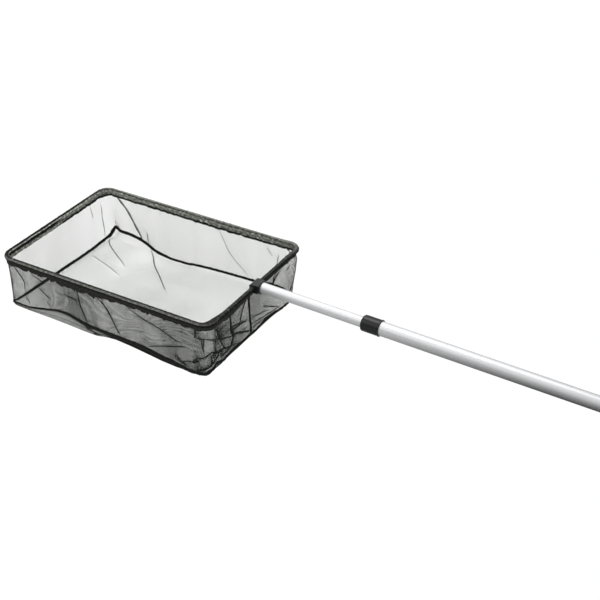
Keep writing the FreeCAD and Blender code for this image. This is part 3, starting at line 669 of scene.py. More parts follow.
def node(tree, kind, **settings):
    """New shader node; a setting is an input's value if one has that name."""
    made = tree.nodes.new("ShaderNode" + kind)
    for key, value in settings.items():
        if key in made.inputs:
            made.inputs[key].default_value = value
        else:
            setattr(made, key, value)
    return made


def material(name, roughness=0.5, specular=0.5, metallic=0.0):
    mat = bpy.data.materials.new(name)
    tree, output = clear_tree(mat, "OutputMaterial")
    shader = node(tree, "BsdfPrincipled", Roughness=roughness, Metallic=metallic,
                  **{"Specular IOR Level": specular})
    tree.links.new(shader.outputs[0], output.inputs[0])
    return mat, tree, shader


def coords(tree, scale=(1, 1, 1)):
    place = node(tree, "TexCoord")
    mapping = node(tree, "Mapping", Scale=scale)
    tree.links.new(place.outputs["Object"], mapping.inputs["Vector"])
    return mapping.outputs["Vector"]


def noise(tree, scale, detail=4, vector=None):
    made = node(tree, "TexNoise", Scale=scale, Detail=detail, Roughness=0.55)
    if vector is not None:
        tree.links.new(vector, made.inputs["Vector"])
    return made.outputs["Fac"]


def cells(tree, scale):
    made = node(tree, "TexVoronoi", Scale=scale)
    tree.links.new(coords(tree), made.inputs["Vector"])
    return made.outputs["Distance"]


def bands(tree, scale, distortion=0.0):
    made = node(tree, "TexWave", wave_type="BANDS", bands_direction="DIAGONAL", Scale=scale,
                Distortion=distortion)
    tree.links.new(coords(tree), made.inputs["Vector"])
    return made.outputs["Fac"]


def ramp(tree, factor, stops):
    """Colour ramp through stops (position, colour)."""
    made = node(tree, "ValToRGB")
    elements = made.color_ramp.elements
    for element, (position, colour) in zip(elements, (stops[0], stops[-1])):
        element.position, element.color = position, (*colour, 1)
    for position, colour in stops[1:-1]:
        elements.new(position).color = (*colour, 1)
    tree.links.new(factor, made.inputs[0])
    return made.outputs[0]


def maths(tree, operation, *values):
    made = node(tree, "Math", operation=operation)
    for socket, value in zip(made.inputs, values):
        if isinstance(value, (int, float)):
            socket.default_value = value
        else:
            tree.links.new(value, socket)
    return made.outputs[0]


def spread(tree, factor, low, high, start=0.3, end=0.7):
    """Maps start..end of the factor onto low..high."""
    made = node(tree, "MapRange", clamp=True, **{"From Min": start, "From Max": end,
                                                 "To Min": low, "To Max": high})
    tree.links.new(factor, made.inputs["Value"])
    return made.outputs[0]


def base_colour(tree, shader, factor, dark, light, start=0.3, end=0.7):
    tree.links.new(ramp(tree, factor, [(start, dark), (end, light)]),
                   shader.inputs["Base Color"])


def rough_range(tree, shader, factor, low, high):
    tree.links.new(spread(tree, factor, low, high), shader.inputs["Roughness"])


def bump(tree, shader, height, strength, distance):
    made = node(tree, "Bump", Strength=strength, Distance=distance)
    tree.links.new(height, made.inputs["Height"])
    tree.links.new(made.outputs[0], shader.inputs["Normal"])


def grey(value, tint=(1, 1, 1)):
    return tuple(value * part for part in tint)


# ------------------------------------------------------------------ materials
def net_outer():
    mat, tree, shader = material("net_thread_outer", specular=0.2)
    base_colour(tree, shader, noise(tree, 60, detail=5),
                dark=(0.0035, 0.0055, 0.0025), light=(0.0135, 0.0185, 0.0095))
    rough_range(tree, shader, noise(tree, 300), 0.5, 0.8)
    return mat


def net_inner_painted_light():
    """Inner face of the threads painted pale, painted light that makes the inside of the bag read
    pale, with faint streaks; darkened by tone along the folds as painted shade.
    """
    mat, tree, shader = material("net_thread_inner_painted_light", roughness=0.85, specular=0.1)
    tone = node(tree, "Attribute", attribute_name="tone")
    # painted light: pale inner faces; the black outer faces of net_outer are the thread's own
    # colour
    light = ramp(tree, noise(tree, 9, vector=coords(tree, (2.2, 2.2, 0.35))),
                 [(0.3, (0.56, 0.59, 0.545)), (0.7, (0.70, 0.73, 0.685))])
    mix = node(tree, "Mix", data_type="RGBA")
    tree.links.new(tone.outputs["Fac"], mix.inputs[0])
    tree.links.new(light, mix.inputs[6])
    mix.inputs[7].default_value = (0.01, 0.012, 0.01, 1)
    tree.links.new(mix.outputs[2], shader.inputs["Base Color"])
    return mat


def hem_mesh():
    """Folded mesh, its cells fine light and dark specks; tone says how light, carrying painted
    highlight and painted shade round the rod.
    """
    mat, tree, shader = material("hem_mesh_folded", roughness=0.8, specular=0.06)
    tone = node(tree, "Attribute", attribute_name="tone")
    distance = cells(tree, 620)
    fine = spread(tree, distance, 0.6, 1.25, start=0.05, end=0.7)
    broad = spread(tree, noise(tree, 260, detail=5), 0.55, 1.5, start=0.36, end=0.64)
    light = maths(tree, "MULTIPLY", tone.outputs["Fac"], fine)
    light = maths(tree, "MULTIPLY", light, broad)
    light = maths(tree, "ADD", light, 0.004)
    colour = node(tree, "CombineColor")
    for socket, tint in zip(colour.inputs, (0.97, 1.0, 0.9)):
        tree.links.new(maths(tree, "MULTIPLY", light, tint), socket)
    tree.links.new(colour.outputs[0], shader.inputs["Base Color"])
    bump(tree, shader, maths(tree, "ADD", distance, noise(tree, 500)), 0.6, 0.0006)
    return mat


def woven(name, scale, dark, light, strength, distance, distortion=0.0, **surface):
    """Dark cloth or thread with diagonal bands."""
    mat, tree, shader = material(name, **surface)
    weave = bands(tree, scale, distortion)
    base_colour(tree, shader, weave, dark, light, start=0.2, end=0.8)
    bump(tree, shader, weave, strength, distance)
    return mat


def plastic(name, dark, light, rough, tint=(0.94, 0.96, 1.08), shine=0.5):
    mat, tree, shader = material(name, specular=shine)
    base_colour(tree, shader, noise(tree, 45, detail=5), grey(dark, tint), grey(light, tint))
    grain = noise(tree, 900, detail=3)
    rough_range(tree, shader, noise(tree, 120), rough - 0.07, rough + 0.1)
    bump(tree, shader, grain, 0.22, 0.0002)
    return mat


def aluminium():
    """Satin tube with fine lines along X, a little darker toward +X, the grip end: painted shade
    where the light falls off.
    """
    mat, tree, shader = material("satin_aluminium", metallic=0.5)
    lines = noise(tree, 90, detail=5, vector=coords(tree, (0.25, 30, 30)))
    along = node(tree, "SeparateXYZ")
    tree.links.new(coords(tree), along.inputs[0])
    # painted shade: base colour darkened toward the grip end
    painted_shade_to_grip = spread(tree, along.outputs["X"], 1.0, 0.78, start=-0.75, end=-0.12)
    tint = node(tree, "VectorMath", operation="MULTIPLY")
    tree.links.new(ramp(tree, lines, [(0.3, (0.71, 0.715, 0.73)), (0.7, (0.79, 0.795, 0.80))]),
                   tint.inputs[0])
    tree.links.new(painted_shade_to_grip, tint.inputs[1])
    tree.links.new(tint.outputs["Vector"], shader.inputs["Base Color"])
    rough_range(tree, shader, lines, 0.42, 0.50)
    bump(tree, shader, lines, 0.03, 0.0001)
    return mat


def steel(name, dark, light, rough):
    mat, tree, shader = material(name, metallic=0.95)
    base_colour(tree, shader, noise(tree, 200, detail=5), grey(dark), grey(light))
    rough_range(tree, shader, noise(tree, 700), rough - 0.08, rough + 0.12)
    bump(tree, shader, noise(tree, 1500), 0.12, 0.0001)
    return mat


def foam():
    mat, tree, shader = material("grip_foam", specular=0.25)
    distance = cells(tree, 900)
    base_colour(tree, shader, noise(tree, 60, detail=5),
                dark=(0.016, 0.016, 0.017), light=(0.034, 0.034, 0.036))
    rough_range(tree, shader, distance, 0.98, 0.75)
    bump(tree, shader, maths(tree, "ADD", distance, noise(tree, 400)), 0.55, 0.0005)
    return mat


NET_MATERIALS = [net_outer(), net_inner_painted_light()]
HEM = hem_mesh()
TAPE = woven("binding_tape", 420, (0.004, 0.004, 0.004), (0.014, 0.014, 0.013),
             strength=0.5, distance=0.0003, distortion=1.5, roughness=0.75, specular=0.2)
THREAD = woven("sewing_thread", 1400, (0.006, 0.006, 0.006), (0.022, 0.022, 0.02),
               strength=0.4, distance=0.0001, roughness=0.55)
BLACK = plastic("black_plastic", 0.008, 0.015, rough=0.33)
COLLAR = plastic("collar_plastic", 0.006, 0.011, rough=0.27, tint=(0.94, 0.95, 1.12), shine=0.34)
BUSH = plastic("bush_plastic", 0.05, 0.075, rough=0.5)
LOCK = plastic("lock_plastic", 0.22, 0.28, rough=0.45, tint=(1, 0.99, 0.95))
TUBE = aluminium()
SCREW = steel("screw_steel", 0.30, 0.42, rough=0.3)
ROD = steel("coated_rod", 0.16, 0.22, rough=0.4)
FOAM = foam()

LOOK = {
    "frame_rod": ROD, "connector_body": BLACK, "rod_set_screws": SCREW, "plug_rivet": SCREW,
    "inner_tube": TUBE, "outer_tube": TUBE, "collar": COLLAR, "guide_bush": BUSH,
    "lock_plug": LOCK, "lock_plug_pin": SCREW, "lock_expander": LOCK, "lock_cone": LOCK,
    "lock_stop_ring": SCREW, "hand_grip": FOAM, "end_cap": BLACK, "hem_sleeve": HEM,
    "hem_stitching": THREAD, "net_side_band": NET_MATERIALS[0],
    "net_bottom_panel": NET_MATERIALS[0], "bottom_binding": TAPE, "side_seam_tape": TAPE,
}
for name, piece in frame["nodes"].items():
    piece.data.materials.clear()
    piece.data.materials.append(LOOK[name])

# ------------------------------------------------------------------ walls of the bag
THREAD_PITCH = 1.5
WALL_THREAD = 0.36
WALL_STEPS = 46    # points down an upright thread before thinning
WALL_ROWS = 58
ROW_STEPS = 760    # points round a level thread before thinning
WALL_TOLERANCE = 0.16
# thicker or thinner stretches: middle run, change, reach, power of the fall-off
HEFT = [
    (front(-275), 0.50, 55, 2), (front(-405), -0.20, 30, 2), (front(-452), 0.16, 16, 2),
    (front(-90), 0.42, 90, 2), (front(-36), 0.61, 50, 2), (BACK_LEFT, -0.38, 92, 2),
    (right(-100), 0.42, 36, 2), (right(-60), 0.14, 30, 2), (right(0), 0.12, 30, 2),
    (right(100), -0.30, 60, 2), (left(0), -0.24, 145, 6), (front(-222), 0.08, 215, 6),
]


def heft(run, depth):
    """How much thicker the drawn-together threads are, round the bag and down the wall."""
    thick = np.ones_like(run)
    for at, change, width, power in HEFT:
        thick += change * lump(run, at, width, power)
    # bunched low at the front handle-side corner; part way down beside it, thicker threads darken
    # a patch as painted shade
    thick += (0.28 + 0.5 * np.exp(-((depth - 0.88) / 0.14) ** 2)) * lump(run, right(-151), 16)
    thick += 0.55 * lump(run, right(-107), 14) * np.exp(-((depth - 0.37) / 0.13) ** 2)
    return thick * (1 + 0.05 * waves(run, 31, 60, 16, 8) + 0.10 * depth)


def wall_grid(run, depth):
    """Points, normals, thread width and darkness (painted fold shade) on the wall."""
    points, normals, dark = wall(run, TOP + (seam_z(run) - TOP) * depth)
    return points, normals, WALL_THREAD * heft(run, depth) * (1 + 0.9 * dark), dark


def pleat(pile, line, place, tone, seed):
    """Mesh pinched double along a fold: a slim tapering ridge that follows the cloth."""
    line = np.array(line, float)
    steps = np.concatenate([[0], np.cumsum(np.hypot(*(line[1:] - line[:-1]).T))])
    along = np.linspace(0, steps[-1], max(6, int(steps[-1] / 2.2)))
    path = np.stack([np.interp(along, steps, line[:, 0]), np.interp(along, steps, line[:, 1])], -1)
    relax(path, 6)
    part = along / steps[-1]
    random = np.random.RandomState(seed)
    wiggle = (0.25 * np.sin(along / 7.0 + random.uniform(0, 6))
              + 0.15 * np.sin(along / 3.1 + random.uniform(0, 6)))
    path[:, 0] += wiggle * np.sin(math.pi * part)
    points, normals = place(path)
    taper = np.clip(np.minimum(part / 0.16, (1 - part) / 0.3), 0.16, 1) ** 0.8
    size = (0.2 + 0.85 * tone) * taper * (1 + 0.15 * np.sin(along / 5 + random.uniform(0, 6)))
    tangent, side, up = axes(points, normals)
    # steep ridges on the handle side are broader
    broad = 1.0 + (np.abs(normals[:, 0]) ** 2 * (0.15 + 1.35 * np.abs(tangent[:, 2]))
                   * (normals[:, 0] > 0))
    angles = np.arange(6) * math.pi / 3
    rings = sweep(points, side, up, np.outer(size * broad, np.cos(angles)),
                  np.outer(size * 0.8, np.sin(angles)))
    pile.tube(rings, tone=np.ones(rings.shape[:2]))


def pleats(pile, lines, place, first_seed):
    for i, (line, tone, _, _) in enumerate(lines):
        if tone >= 0.16:
            pleat(pile, line, place, tone, first_seed + i)


walls = Pile()
count = int(round(LOOP / THREAD_PITCH))
upright = wall_grid(np.repeat(np.arange(count) * LOOP / count, WALL_STEPS),
                    np.tile(np.linspace(0, 1, WALL_STEPS), count))
for points, normals, width, dark in zip(*(np.split(part, count) for part in upright)):
    walls.thread(thin(points, dark, WALL_TOLERANCE), points, normals, width, dark)
row_run = np.arange(ROW_STEPS) * LOOP / ROW_STEPS
for j in range(WALL_ROWS):
    points, normals, width, dark = wall_grid(row_run, np.full(ROW_STEPS, (j + 0.5) / WALL_ROWS))
    walls.thread(thin(points, dark, WALL_TOLERANCE), points, normals, width, dark, closed=True)
pleats(walls, folds, lambda path: wall(path[:, 0], path[:, 1])[:2], first_seed=500)
walls.fit("net_wall_mesh", NET_MATERIALS, "net_side_band", smooth=False)

# ------------------------------------------------------------------ bottom panel
PANEL_PITCH = 1.6
PANEL_THREAD = 0.325
PANEL_TOLERANCE = 0.17
bottom = Pile()


def oval(points, x, y, reach_x, reach_y, power=2):
    return np.exp(-((points[:, 0] - x) / reach_x) ** power - ((points[:, 1] - y) / reach_y) ** 2)


def panel_thread(x_part, y_part):
    points, dark, inside = panel(x_part, y_part)
    step = 1e-3
    slope_x = (panel(np.minimum(x_part + step, 1), y_part)[0]
               - panel(np.maximum(x_part - step, 0), y_part)[0])
    slope_y = (panel(x_part, np.minimum(y_part + step, 1))[0]
               - panel(x_part, np.maximum(y_part - step, 0))[0])
    down = unit(np.cross(slope_y, slope_x))
    near = 1 - inside
    # thicker where lapped at the front edge, most toward the handle
    lap = 1.1 + 1.6 * clamp((x_part * LENGTH - LENGTH + 225) / 20)
    front_lap = lap * np.exp(-(y_part * 2 * HALF / 13.0) ** 2)
    width = PANEL_THREAD * (1 + 0.9 * dark) * (1 + 0.3 * near + front_lap)
    width = width * (1 + 0.40 * oval(points, -135, 2, 72, 40)
                     - 0.30 * oval(points, -245, 62, 85, 34)
                     + 0.50 * oval(points, -238, 6, 108, 30, power=4))
    # tone: painted fold shade, and the painted pale inner faces darkened toward the panel's edge
    bottom.thread(thin(points, dark, PANEL_TOLERANCE), points, down, width,
                  clamp(dark + 0.25 * near))


def on_panel(path):
    points = panel((path[:, 0] + LENGTH) / LENGTH, (path[:, 1] + HALF) / WIDTH)[0]
    return points + [0, 0, 0.3], np.tile([0, 0, 1.0], (len(points), 1))


columns, rows = int(LENGTH / PANEL_PITCH), int(WIDTH / PANEL_PITCH)
for i in range(columns):
    panel_thread(np.full(200, (i + 0.5) / columns), np.linspace(0, 1, 200))
for j in range(rows):
    panel_thread(np.linspace(0, 1, 280), np.full(280, (j + 0.5) / rows))
pleats(bottom, PANEL_FOLDS, on_panel, first_seed=700)
bottom.fit("net_bottom_mesh", NET_MATERIALS, "net_bottom_panel", smooth=False)

# ------------------------------------------------------------------ hem
# Mesh folded over the rod, with a double tail below it. Open at the middle of the
# handle side.
HEM_GAP = 12.8
HEM_STEPS = 1100
HEM_RADIUS = 4.15
TAIL_TOP = -4.4
ROD_ANGLES = np.arange(-60, 241, 10.0)  # degrees: 0 outward, 90 top, 180 inward
# tail, down the inside, round the bottom edge, up the outside: offset outward, share of height
TAIL = [(-1.15, 0.12), (-1.1, 0.28), (-1.1, 0.36), (-1.15, 0.50), (-1.1, 0.59), (-1.1, 0.66),
        (-1.05, 0.76), (-0.85, 0.88), (-0.5, 0.97), (0, 1.0), (0.6, 0.97), (1.1, 0.86),
        (1.35, 0.65), (1.2, 0.4), (1.1, 0.18)]
TAIL_INSIDE, TAIL_OUTSIDE = 8, 11  # first entries past the inside, and on the outside

hem_start, hem_end = right(0) + HEM_GAP, right(0) - HEM_GAP + LOOP
hem_run = np.linspace(hem_start, hem_end, HEM_STEPS)
hem_plan, hem_normals = rim(hem_run)
on_front = lump(hem_run, front(-222), 218, 8)
on_right = lump(hem_run, right(0), 150, 8)
on_left = lump(hem_run, left(0), 146, 8)
on_back = lump(hem_run, back(-222), 222, 8)

# height of the tail's lower edge
tail_low = (-11.4 - 0.7 * waves(hem_run, 41, 40, 7)
            - on_front * (2.2 + 2.0 * waves(hem_run, 43, 44, 6, 16))
            + on_right * (2.0 + 0.8 * waves(hem_run, 38, 36, 7, 12)))
tail_low -= on_back * (2.6 + 1.2 * lump(hem_run, back(-170), 90)
                       + 0.5 * waves(hem_run, 42, 50, 12, 8))
tail_low -= on_left * (2.8 + 0.5 * waves(hem_run, 39, 50, 12, 8))
tail_low -= 4.6 * lump(hem_run, front(-272), 62, 4)
tail_low -= (2.0 * on_right * clamp(0.5 - ring_gap(hem_run, right(-16)) / 24)
             + 4.6 * lump(hem_run, right(-84), 27))
tail_low = np.minimum(tail_low, -9.6)
sway = 0.5 * waves(hem_run, 44, 30, 6)
radius = (HEM_RADIUS + 0.20 * waves(hem_run, 45, 22, 3.5, 16) - 0.3 * on_right
          + 0.25 * on_right * waves(hem_run, 46, 26, 6, 12))

# How light the folded mesh is painted on each side: weight, (angle, lightness) round the rod,
# (share of height, lightness) down the inside of the tail, lightness outside the tail. Round the
# rod the pale bands are painted highlight and the dark lines between them painted shade; the pale
# rows inside the tail are painted light, and its darkest lower rows stand for the dark stitched
# edge.
# The far side has two halves.
front_half = clamp(0.5 + ring_gap(hem_run, left(10)) / 26)
HEM_LIGHT = [
    (on_front, [(-60, .008), (0, .012), (10, .02), (21, .25), (32, .14), (38, .05), (47, .22),
                (54, .11), (61, .03), (127, .02), (240, .03)],
     [(0, .03), (.7, .03), (.8, .004)], .022),
    (on_back, [(-60, .02), (40, .14), (58, .24), (100, .20), (116, .14), (128, .12),
               (138, .045), (150, .035), (160, .12), (175, .24), (200, .27), (240, .27)],
     [(0, .27), (.48, .25), (.55, .005)], .03),
    (on_left * front_half, [(-60, .01), (37, .04), (50, .010), (128, .006), (137, .10),
                            (145, .36), (158, .32), (167, .06), (176, .005), (240, .005)],
     [(0, .006), (.26, .006), (.36, .34), (.9, .32), (1, .1)], .03),
    (on_left * (1 - front_half), [(-60, .01), (37, .05), (50, .010), (122, .008), (133, .10),
                                  (146, .28), (175, .32), (200, .28), (240, .26)],
     [(0, .26), (.46, .25), (.54, .005)], .03),
    (on_right, [(-60, .006), (20, .010), (40, .028), (60, .05), (84, .03), (105, .05),
                (130, .045), (240, .03)],
     [(0, .04), (.7, .04), (.8, .004)], .045),
]
side_weights, rod_light, inside_light, outside_light = zip(*HEM_LIGHT)
mottled = clamp(on_back + on_left)


def by_side(values):
    """Average of one value per side, by weight."""
    total = sum(weight * value for weight, value in zip(side_weights, values))
    return total / sum(side_weights, 1e-6)


def shade(rows, at):
    return by_side([np.interp(at, *zip(*row)) for row in rows])


def blot(across, strength):
    """Uneven lightness of the bunched cells, drawn out along the hem."""
    places = np.stack([hem_run, across * 1.7 + 0.45 * hem_run], -1)
    return np.exp(strength * ripple(places, 330, 15, 5.5, 20))


def speckle(shift, seed, strength, longest, low, high):
    return np.clip(1 + strength * waves(hem_run + shift, seed, longest, 3.0, 16), low, high)


def hem_over_rod():
    """Sections and tones of the part round the rod; the tones are painted light and shade by
    angle.
    """
    # the sleeve is a little loose outward at the back end of the handle side,
    # and swollen over its top and inside near the front end
    loose = 2.4 * lump(hem_run, right(142), 34)
    swollen = 3.2 * lump(hem_run, right(-131), 17)
    for i, degrees in enumerate(ROD_ANGLES):
        angle = np.radians(degrees)
        reach = (radius + 0.20 * np.sin(hem_run * 0.9 + 3 * angle) * waves(hem_run, 47, 60, 18, 6)
                 + 0.14 * waves(hem_run + 40 * angle, 48, 9, 3, 8))
        reach = (reach + loose * max(0.0, math.cos(angle))
                 + swollen * clamp((degrees - 70) / 40) * clamp((240 - degrees) / 50))
        own = np.clip(1 + 0.5 * waves(hem_run, 320 + i // 2, 16, 3.5, 12), 0.3, 2)
        strength = 0.8 * np.clip((degrees - 95) / 40, 0.25, 1)
        own = own * (1 - mottled) + mottled * blot(HEM_RADIUS * angle, strength)
        light = shade(rod_light, degrees + (4 + 3 * mottled) * waves(hem_run, 48, 120, 30, 6))
        yield (beside(hem_plan, hem_normals, np.cos(angle) * reach, np.sin(angle) * reach),
               light * own)


def hem_tail():
    """Sections and tones of the tail; the pale tones inside it are painted light."""
    for k, (offset, share) in enumerate(TAIL):
        out = (offset * (1 + 0.25 * waves(hem_run, 60 + k, 12, 3, 10)) + sway * share
               + 0.45 * share * waves(hem_run, 70, 9, 3.5, 8))
        if k < TAIL_INSIDE:
            light = shade(inside_light, share + 0.05 * waves(hem_run, 305, 26, 7, 10))
            plain = speckle(3 * k, 302, 0.9, 12, low=0.15, high=2.1)
            spots = blot(HEM_RADIUS * math.radians(240) + share * 9, 0.8)
            light = light * (plain * (1 - mottled) + mottled * spots)
        elif k < TAIL_OUTSIDE:
            light = np.full(HEM_STEPS, 0.004)
        else:
            light = by_side(outside_light) * speckle(5 * k, 303, 1.1, 10, low=0.2, high=3)
        yield (beside(hem_plan, hem_normals, out, TAIL_TOP + (tail_low - TAIL_TOP) * share),
               light)


sections, tones = zip(*hem_over_rod(), *hem_tail())
hem = Pile()
hem.tube(np.stack(sections, 1)[:, ::-1], tone=np.clip(np.stack(tones, 1)[:, ::-1], 0.002, 1))
hem.fit("hem_cloth", [HEM], "hem_sleeve")

# ------------------------------------------------------------------ hem stitching
STITCH_Z = -8.1
STITCH_PITCH = 2.9
OVERLOCK_PITCH = 2.3
# cord curving across the inside of the back handle-side corner
CORD = np.array([
    (-25, 147.5, -12.2), (-17.5, 144.5, -12.2), (-13.6, 138, -12.1), (-13.9, 128.5, -12.0),
    (-15.4, 119, -11.8), (-12, 101, -11.3), (-7, 84, -10.6), (-2.5, 74, -10)])


def lockstitches(pile):
    """Rows of stitches on both faces of the tail; the inner row is shifted along."""
    run = hem_start + 1.5
    while run < hem_end - 3:
        for way, shift in ((1.0, 0), (-1.0, 1.3)):
            plan, normals = rim(run + np.array([-1.15, -0.6, 0.0, 0.6, 1.15]) + shift)
            out = way * (np.array([0.95, 1.45, 1.6, 1.45, 0.95]) + 0.15)
            points = beside(plan, normals, out, STITCH_Z + 0.15 * math.sin(run))
            pile.cord(points, with_z(normals), [0.16, 0.3, 0.34, 0.3, 0.16], sides=5)
        run += STITCH_PITCH


def overlock(pile):
    """Thread spiralling round the lower edge of the tail."""
    turns = (hem_end - hem_start - 2) / OVERLOCK_PITCH
    count = int(turns * 7)
    run = np.linspace(hem_start + 1, hem_end - 1, count)
    angle = np.linspace(0, turns * 2 * math.pi, count)
    out = np.interp(run, hem_run, sway) + 1.15 * np.cos(angle)
    z = np.interp(run, hem_run, tail_low) + 0.75 + 0.95 * np.sin(angle)
    pile.cord(beside(*rim(run), out, z), np.tile([0.0, 0, 1], (count, 1)), 0.42, sides=4)


def corner_cord(pile):
    at = np.linspace(0, len(CORD) - 1, 40)
    path = np.stack([np.interp(at, np.arange(len(CORD)), column) for column in CORD.T], -1)
    relax(path, 8)
    path += np.stack([0.3 * np.sin(at * rate) for rate in (5.1, 3.7, 4.3)], -1)
    pile.cord(path, np.tile([0.0, 0, 1], (40, 1)), 1.0 + 0.25 * np.sin(at * 6.3), sides=6)


sewing = Pile()
lockstitches(sewing)
overlock(sewing)
corner_cord(sewing)
sewing.fit("hem_lockstitch", [THREAD], "hem_stitching")

# ------------------------------------------------------------------ bottom seam binding
BINDING_STEPS = 900
BINDING_OUT, BINDING_UP = 0.78, 1.25  # half sizes of its section, in binding half thicknesses


def squared(values):
    """Swells a circle's sines toward a rounded square."""
    return np.sign(values) * np.abs(values) ** 0.7


binding = Pile()
binding_run = np.arange(BINDING_STEPS) * LOOP / BINDING_STEPS
path, normals = seam_point(binding_run)
path[:, 2] += 0.25 * waves(binding_run, 90, 26, 6, 10)
path[:, :2] += normals * (0.3 * waves(binding_run, 91, 22, 5, 10))[:, None]
thick = girth(binding_run) * (1 + 0.14 * waves(binding_run, 92, 18, 4, 12))
_, side, up = axes(path, with_z(normals), closed=True)
angles = np.arange(12) * 2 * math.pi / 12
binding.tube(sweep(path, side, up, np.outer(thick, BINDING_UP * squared(np.sin(angles))),
                   np.outer(thick, BINDING_OUT * squared(np.cos(angles)))), closed=True)
# topstitch on the outer face
for start in np.arange(0, LOOP, 3.4):
    run = start + np.array([-1.2, -0.5, 0.5, 1.2])
    plan, normals = seam_plan(run)
    out = (np.interp(start, binding_run, thick) * BINDING_OUT
           + np.array([-0.05, 0.14, 0.14, -0.05]))
    z = np.interp(run, binding_run, path[:, 2], period=LOOP)
    binding.cord(beside(plan, normals, out, z), with_z(normals), [0.14, 0.22, 0.22, 0.14], 4)
binding.fit("bottom_binding_tape", [TAPE], "bottom_binding")

# ------------------------------------------------------------------ tape up the handle-side wall
TAPE_THICK = 0.55
# section: across in half widths, outward in TAPE_THICK
TAPE_SECTION = [(-1, -1), (-1, 0.6), (-0.6, 1), (0, 1.25), (0.6, 1), (1, 0.6), (1, -1), (0, -1)]
tape_z = np.linspace(-9.0, -88.6, 60)
tape_y = -22.5 + 0.6 * np.sin(tape_z / 13) + 1.0 * clamp((-tape_z - 40) / 30)
path = wall(right(tape_y), tape_z)[0]
path[:, 0] += 0.9
half_width = (3.0 - 0.5 * clamp((-tape_z - 20) / 25) + 0.2 * np.sin(tape_z / 5.0)
              + 0.6 * clamp((-tape_z - 78) / 10))
across, out = np.array(TAPE_SECTION, float).T
tape = Pile()
tape.tube(sweep(path, np.tile([0.0, 1, 0], (60, 1)), np.tile([1.0, 0, 0], (60, 1)),
                np.outer(half_width, across), np.outer(np.full(60, TAPE_THICK), out)))
# stitches down its middle
for i in range(26):
    z = -11 - i * 3.0
    x = np.interp(-z, -tape_z, path[:, 0]) + np.array([0.5, 0.8, 0.8, 0.5])
    y = np.full(4, np.interp(-z, -tape_z, tape_y))
    tape.cord(np.stack([x, y, z + np.array([1.1, 0.5, -0.5, -1.1])], -1),
              np.tile([1.0, 0, 0], (4, 1)), [0.12, 0.2, 0.2, 0.12], 4)
tape.fit("side_seam_binding", [TAPE], "side_seam_tape")

# ------------------------------------------------------------------ stage, light, camera
FLOOR_HALF = 9.0
FLOOR_DROP = 0.004
BACKDROP = 1.02  # strength of the white the camera sees


def floor_material():
    """Plain white to the camera; grey in the light it bounces, paler toward -X."""
    mat = bpy.data.materials.new("floor_pale")
    tree, output = clear_tree(mat, "OutputMaterial")
    rays = node(tree, "LightPath")
    white = node(tree, "Emission", Color=(1, 1, 1, 1), Strength=BACKDROP)
    diffuse = node(tree, "BsdfDiffuse", Color=(0.16, 0.16, 0.16, 1))
    mottle = node(tree, "TexNoise", Scale=3)
    greys = ramp(tree, mottle.outputs["Fac"], [(0, grey(0.15)), (1, grey(0.18))])
    place = node(tree, "TexCoord")
    split = node(tree, "SeparateXYZ")
    tree.links.new(place.outputs["Object"], split.inputs[0])
    gain = spread(tree, split.outputs["X"], 5.2, 0.05, start=-1.1, end=-0.42)
    product = node(tree, "Mix", data_type="RGBA", blend_type="MULTIPLY")
    product.inputs[0].default_value = 1
    tree.links.new(greys, product.inputs[6])
    tree.links.new(gain, product.inputs[7])
    tree.links.new(product.outputs[2], diffuse.inputs[0])
    seen = maths(tree, "MAXIMUM", rays.outputs["Is Camera Ray"],
                 rays.outputs["Is Transmission Ray"])
    mix_shaders(tree, output, seen, diffuse, white)
    return mat


def mix_shaders(tree, output, factor, first, second):
    mix = node(tree, "MixShader")
    for socket, source in zip(mix.inputs, (factor, first.outputs[0], second.outputs[0])):
        tree.links.new(source, socket)
    tree.links.new(mix.outputs[0], output.inputs[0])


def make_floor():
    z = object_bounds()[0].z - FLOOR_DROP
    mesh = bpy.data.meshes.new("floor")
    mesh.from_pydata([(x * FLOOR_HALF, y * FLOOR_HALF, z)
                      for x, y in ((-1, -1), (1, -1), (1, 1), (-1, 1))], [], [(0, 1, 2, 3)])
    floor = bpy.data.objects.new("floor", mesh)
    bpy.context.scene.collection.objects.link(floor)
    mesh.materials.append(floor_material())


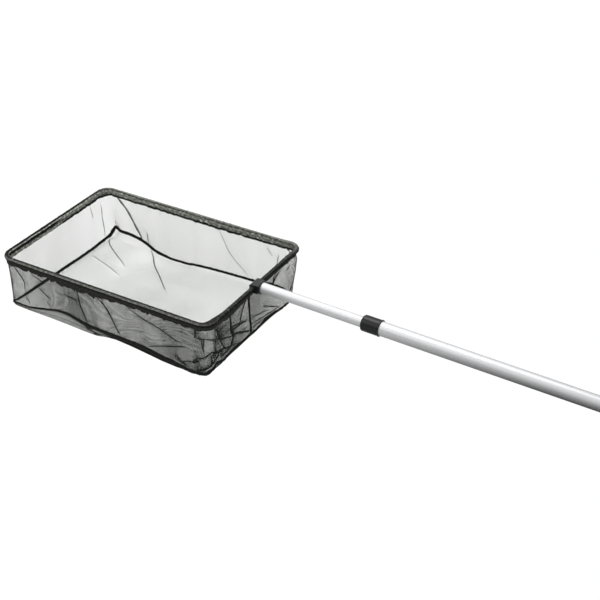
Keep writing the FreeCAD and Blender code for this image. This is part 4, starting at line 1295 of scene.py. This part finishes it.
def make_world():
    """White to the camera; as light, dim at the horizon and bright above."""
    studio = bpy.data.worlds.new("studio")
    bpy.context.scene.world = studio
    tree, output = clear_tree(studio, "OutputWorld")
    sky = node(tree, "Background", Strength=0.95)
    white = node(tree, "Background", Color=(1, 1, 1, 1), Strength=BACKDROP)
    place = node(tree, "TexCoord")
    split = node(tree, "SeparateXYZ")
    tree.links.new(place.outputs["Generated"], split.inputs[0])
    stops = [(0.0, grey(0.12)), (0.18, grey(0.4)), (0.62, grey(1))]
    tree.links.new(ramp(tree, split.outputs["Z"], stops), sky.inputs[0])
    rays = node(tree, "LightPath")
    mix_shaders(tree, output, rays.outputs["Is Camera Ray"], sky, white)


def area(name, offset, aim, size, power):
    """Disk light, placed and aimed relative to the middle of the frame's box."""
    middle = (Vector(FRAME_BOX[0]) + Vector(FRAME_BOX[1])) / 2
    at = middle + Vector(offset)
    light = bpy.data.lights.new(name, "AREA")
    light.shape = "DISK"
    light.size = size
    light.energy = power
    lamp = bpy.data.objects.new(name, light)
    lamp.location = at
    heading = middle + Vector(aim) - at
    lamp.rotation_euler = heading.to_track_quat("-Z", "Y").to_euler()
    bpy.context.scene.collection.objects.link(lamp)


def make_camera():
    """Camera set in the rim's plane: place in mm, then angles down, about z, and roll."""
    place = world([976.38, -1516.41, 1163.4])
    down, swing, roll = (math.radians(angle) for angle in (33.5242, 30.3569, -0.0068))
    ahead = np.array([-math.sin(swing) * math.cos(down), math.cos(swing) * math.cos(down),
                      -math.sin(down)])
    level = np.array([math.cos(swing), math.sin(swing), 0.0])
    upright = np.cross(level, ahead)
    across = turn(level * math.cos(roll) + upright * math.sin(roll))
    up = turn(-level * math.sin(roll) + upright * math.cos(roll))
    lens = bpy.data.cameras.new("camera")
    lens.sensor_width = 36.0
    lens.lens = 74.2452
    lens.clip_start = 0.05
    lens.clip_end = 60
    camera = bpy.data.objects.new("camera", lens)
    rows = np.column_stack([across, up, -turn(ahead), place])
    camera.matrix_world = Matrix([*rows.tolist(), (0, 0, 0, 1)])
    bpy.context.scene.collection.objects.link(camera)
    bpy.context.scene.camera = camera


make_floor()
make_world()
area("key", offset=(-0.75, 0.75, 2.25), aim=(-0.2, 0, 0), size=1.5, power=20)
area("fill", offset=(-1.6, -1.2, 1.6), aim=(-0.4, 0, 0), size=1.4, power=8)
make_camera()
bpy.context.scene.view_settings.view_transform = "Standard"
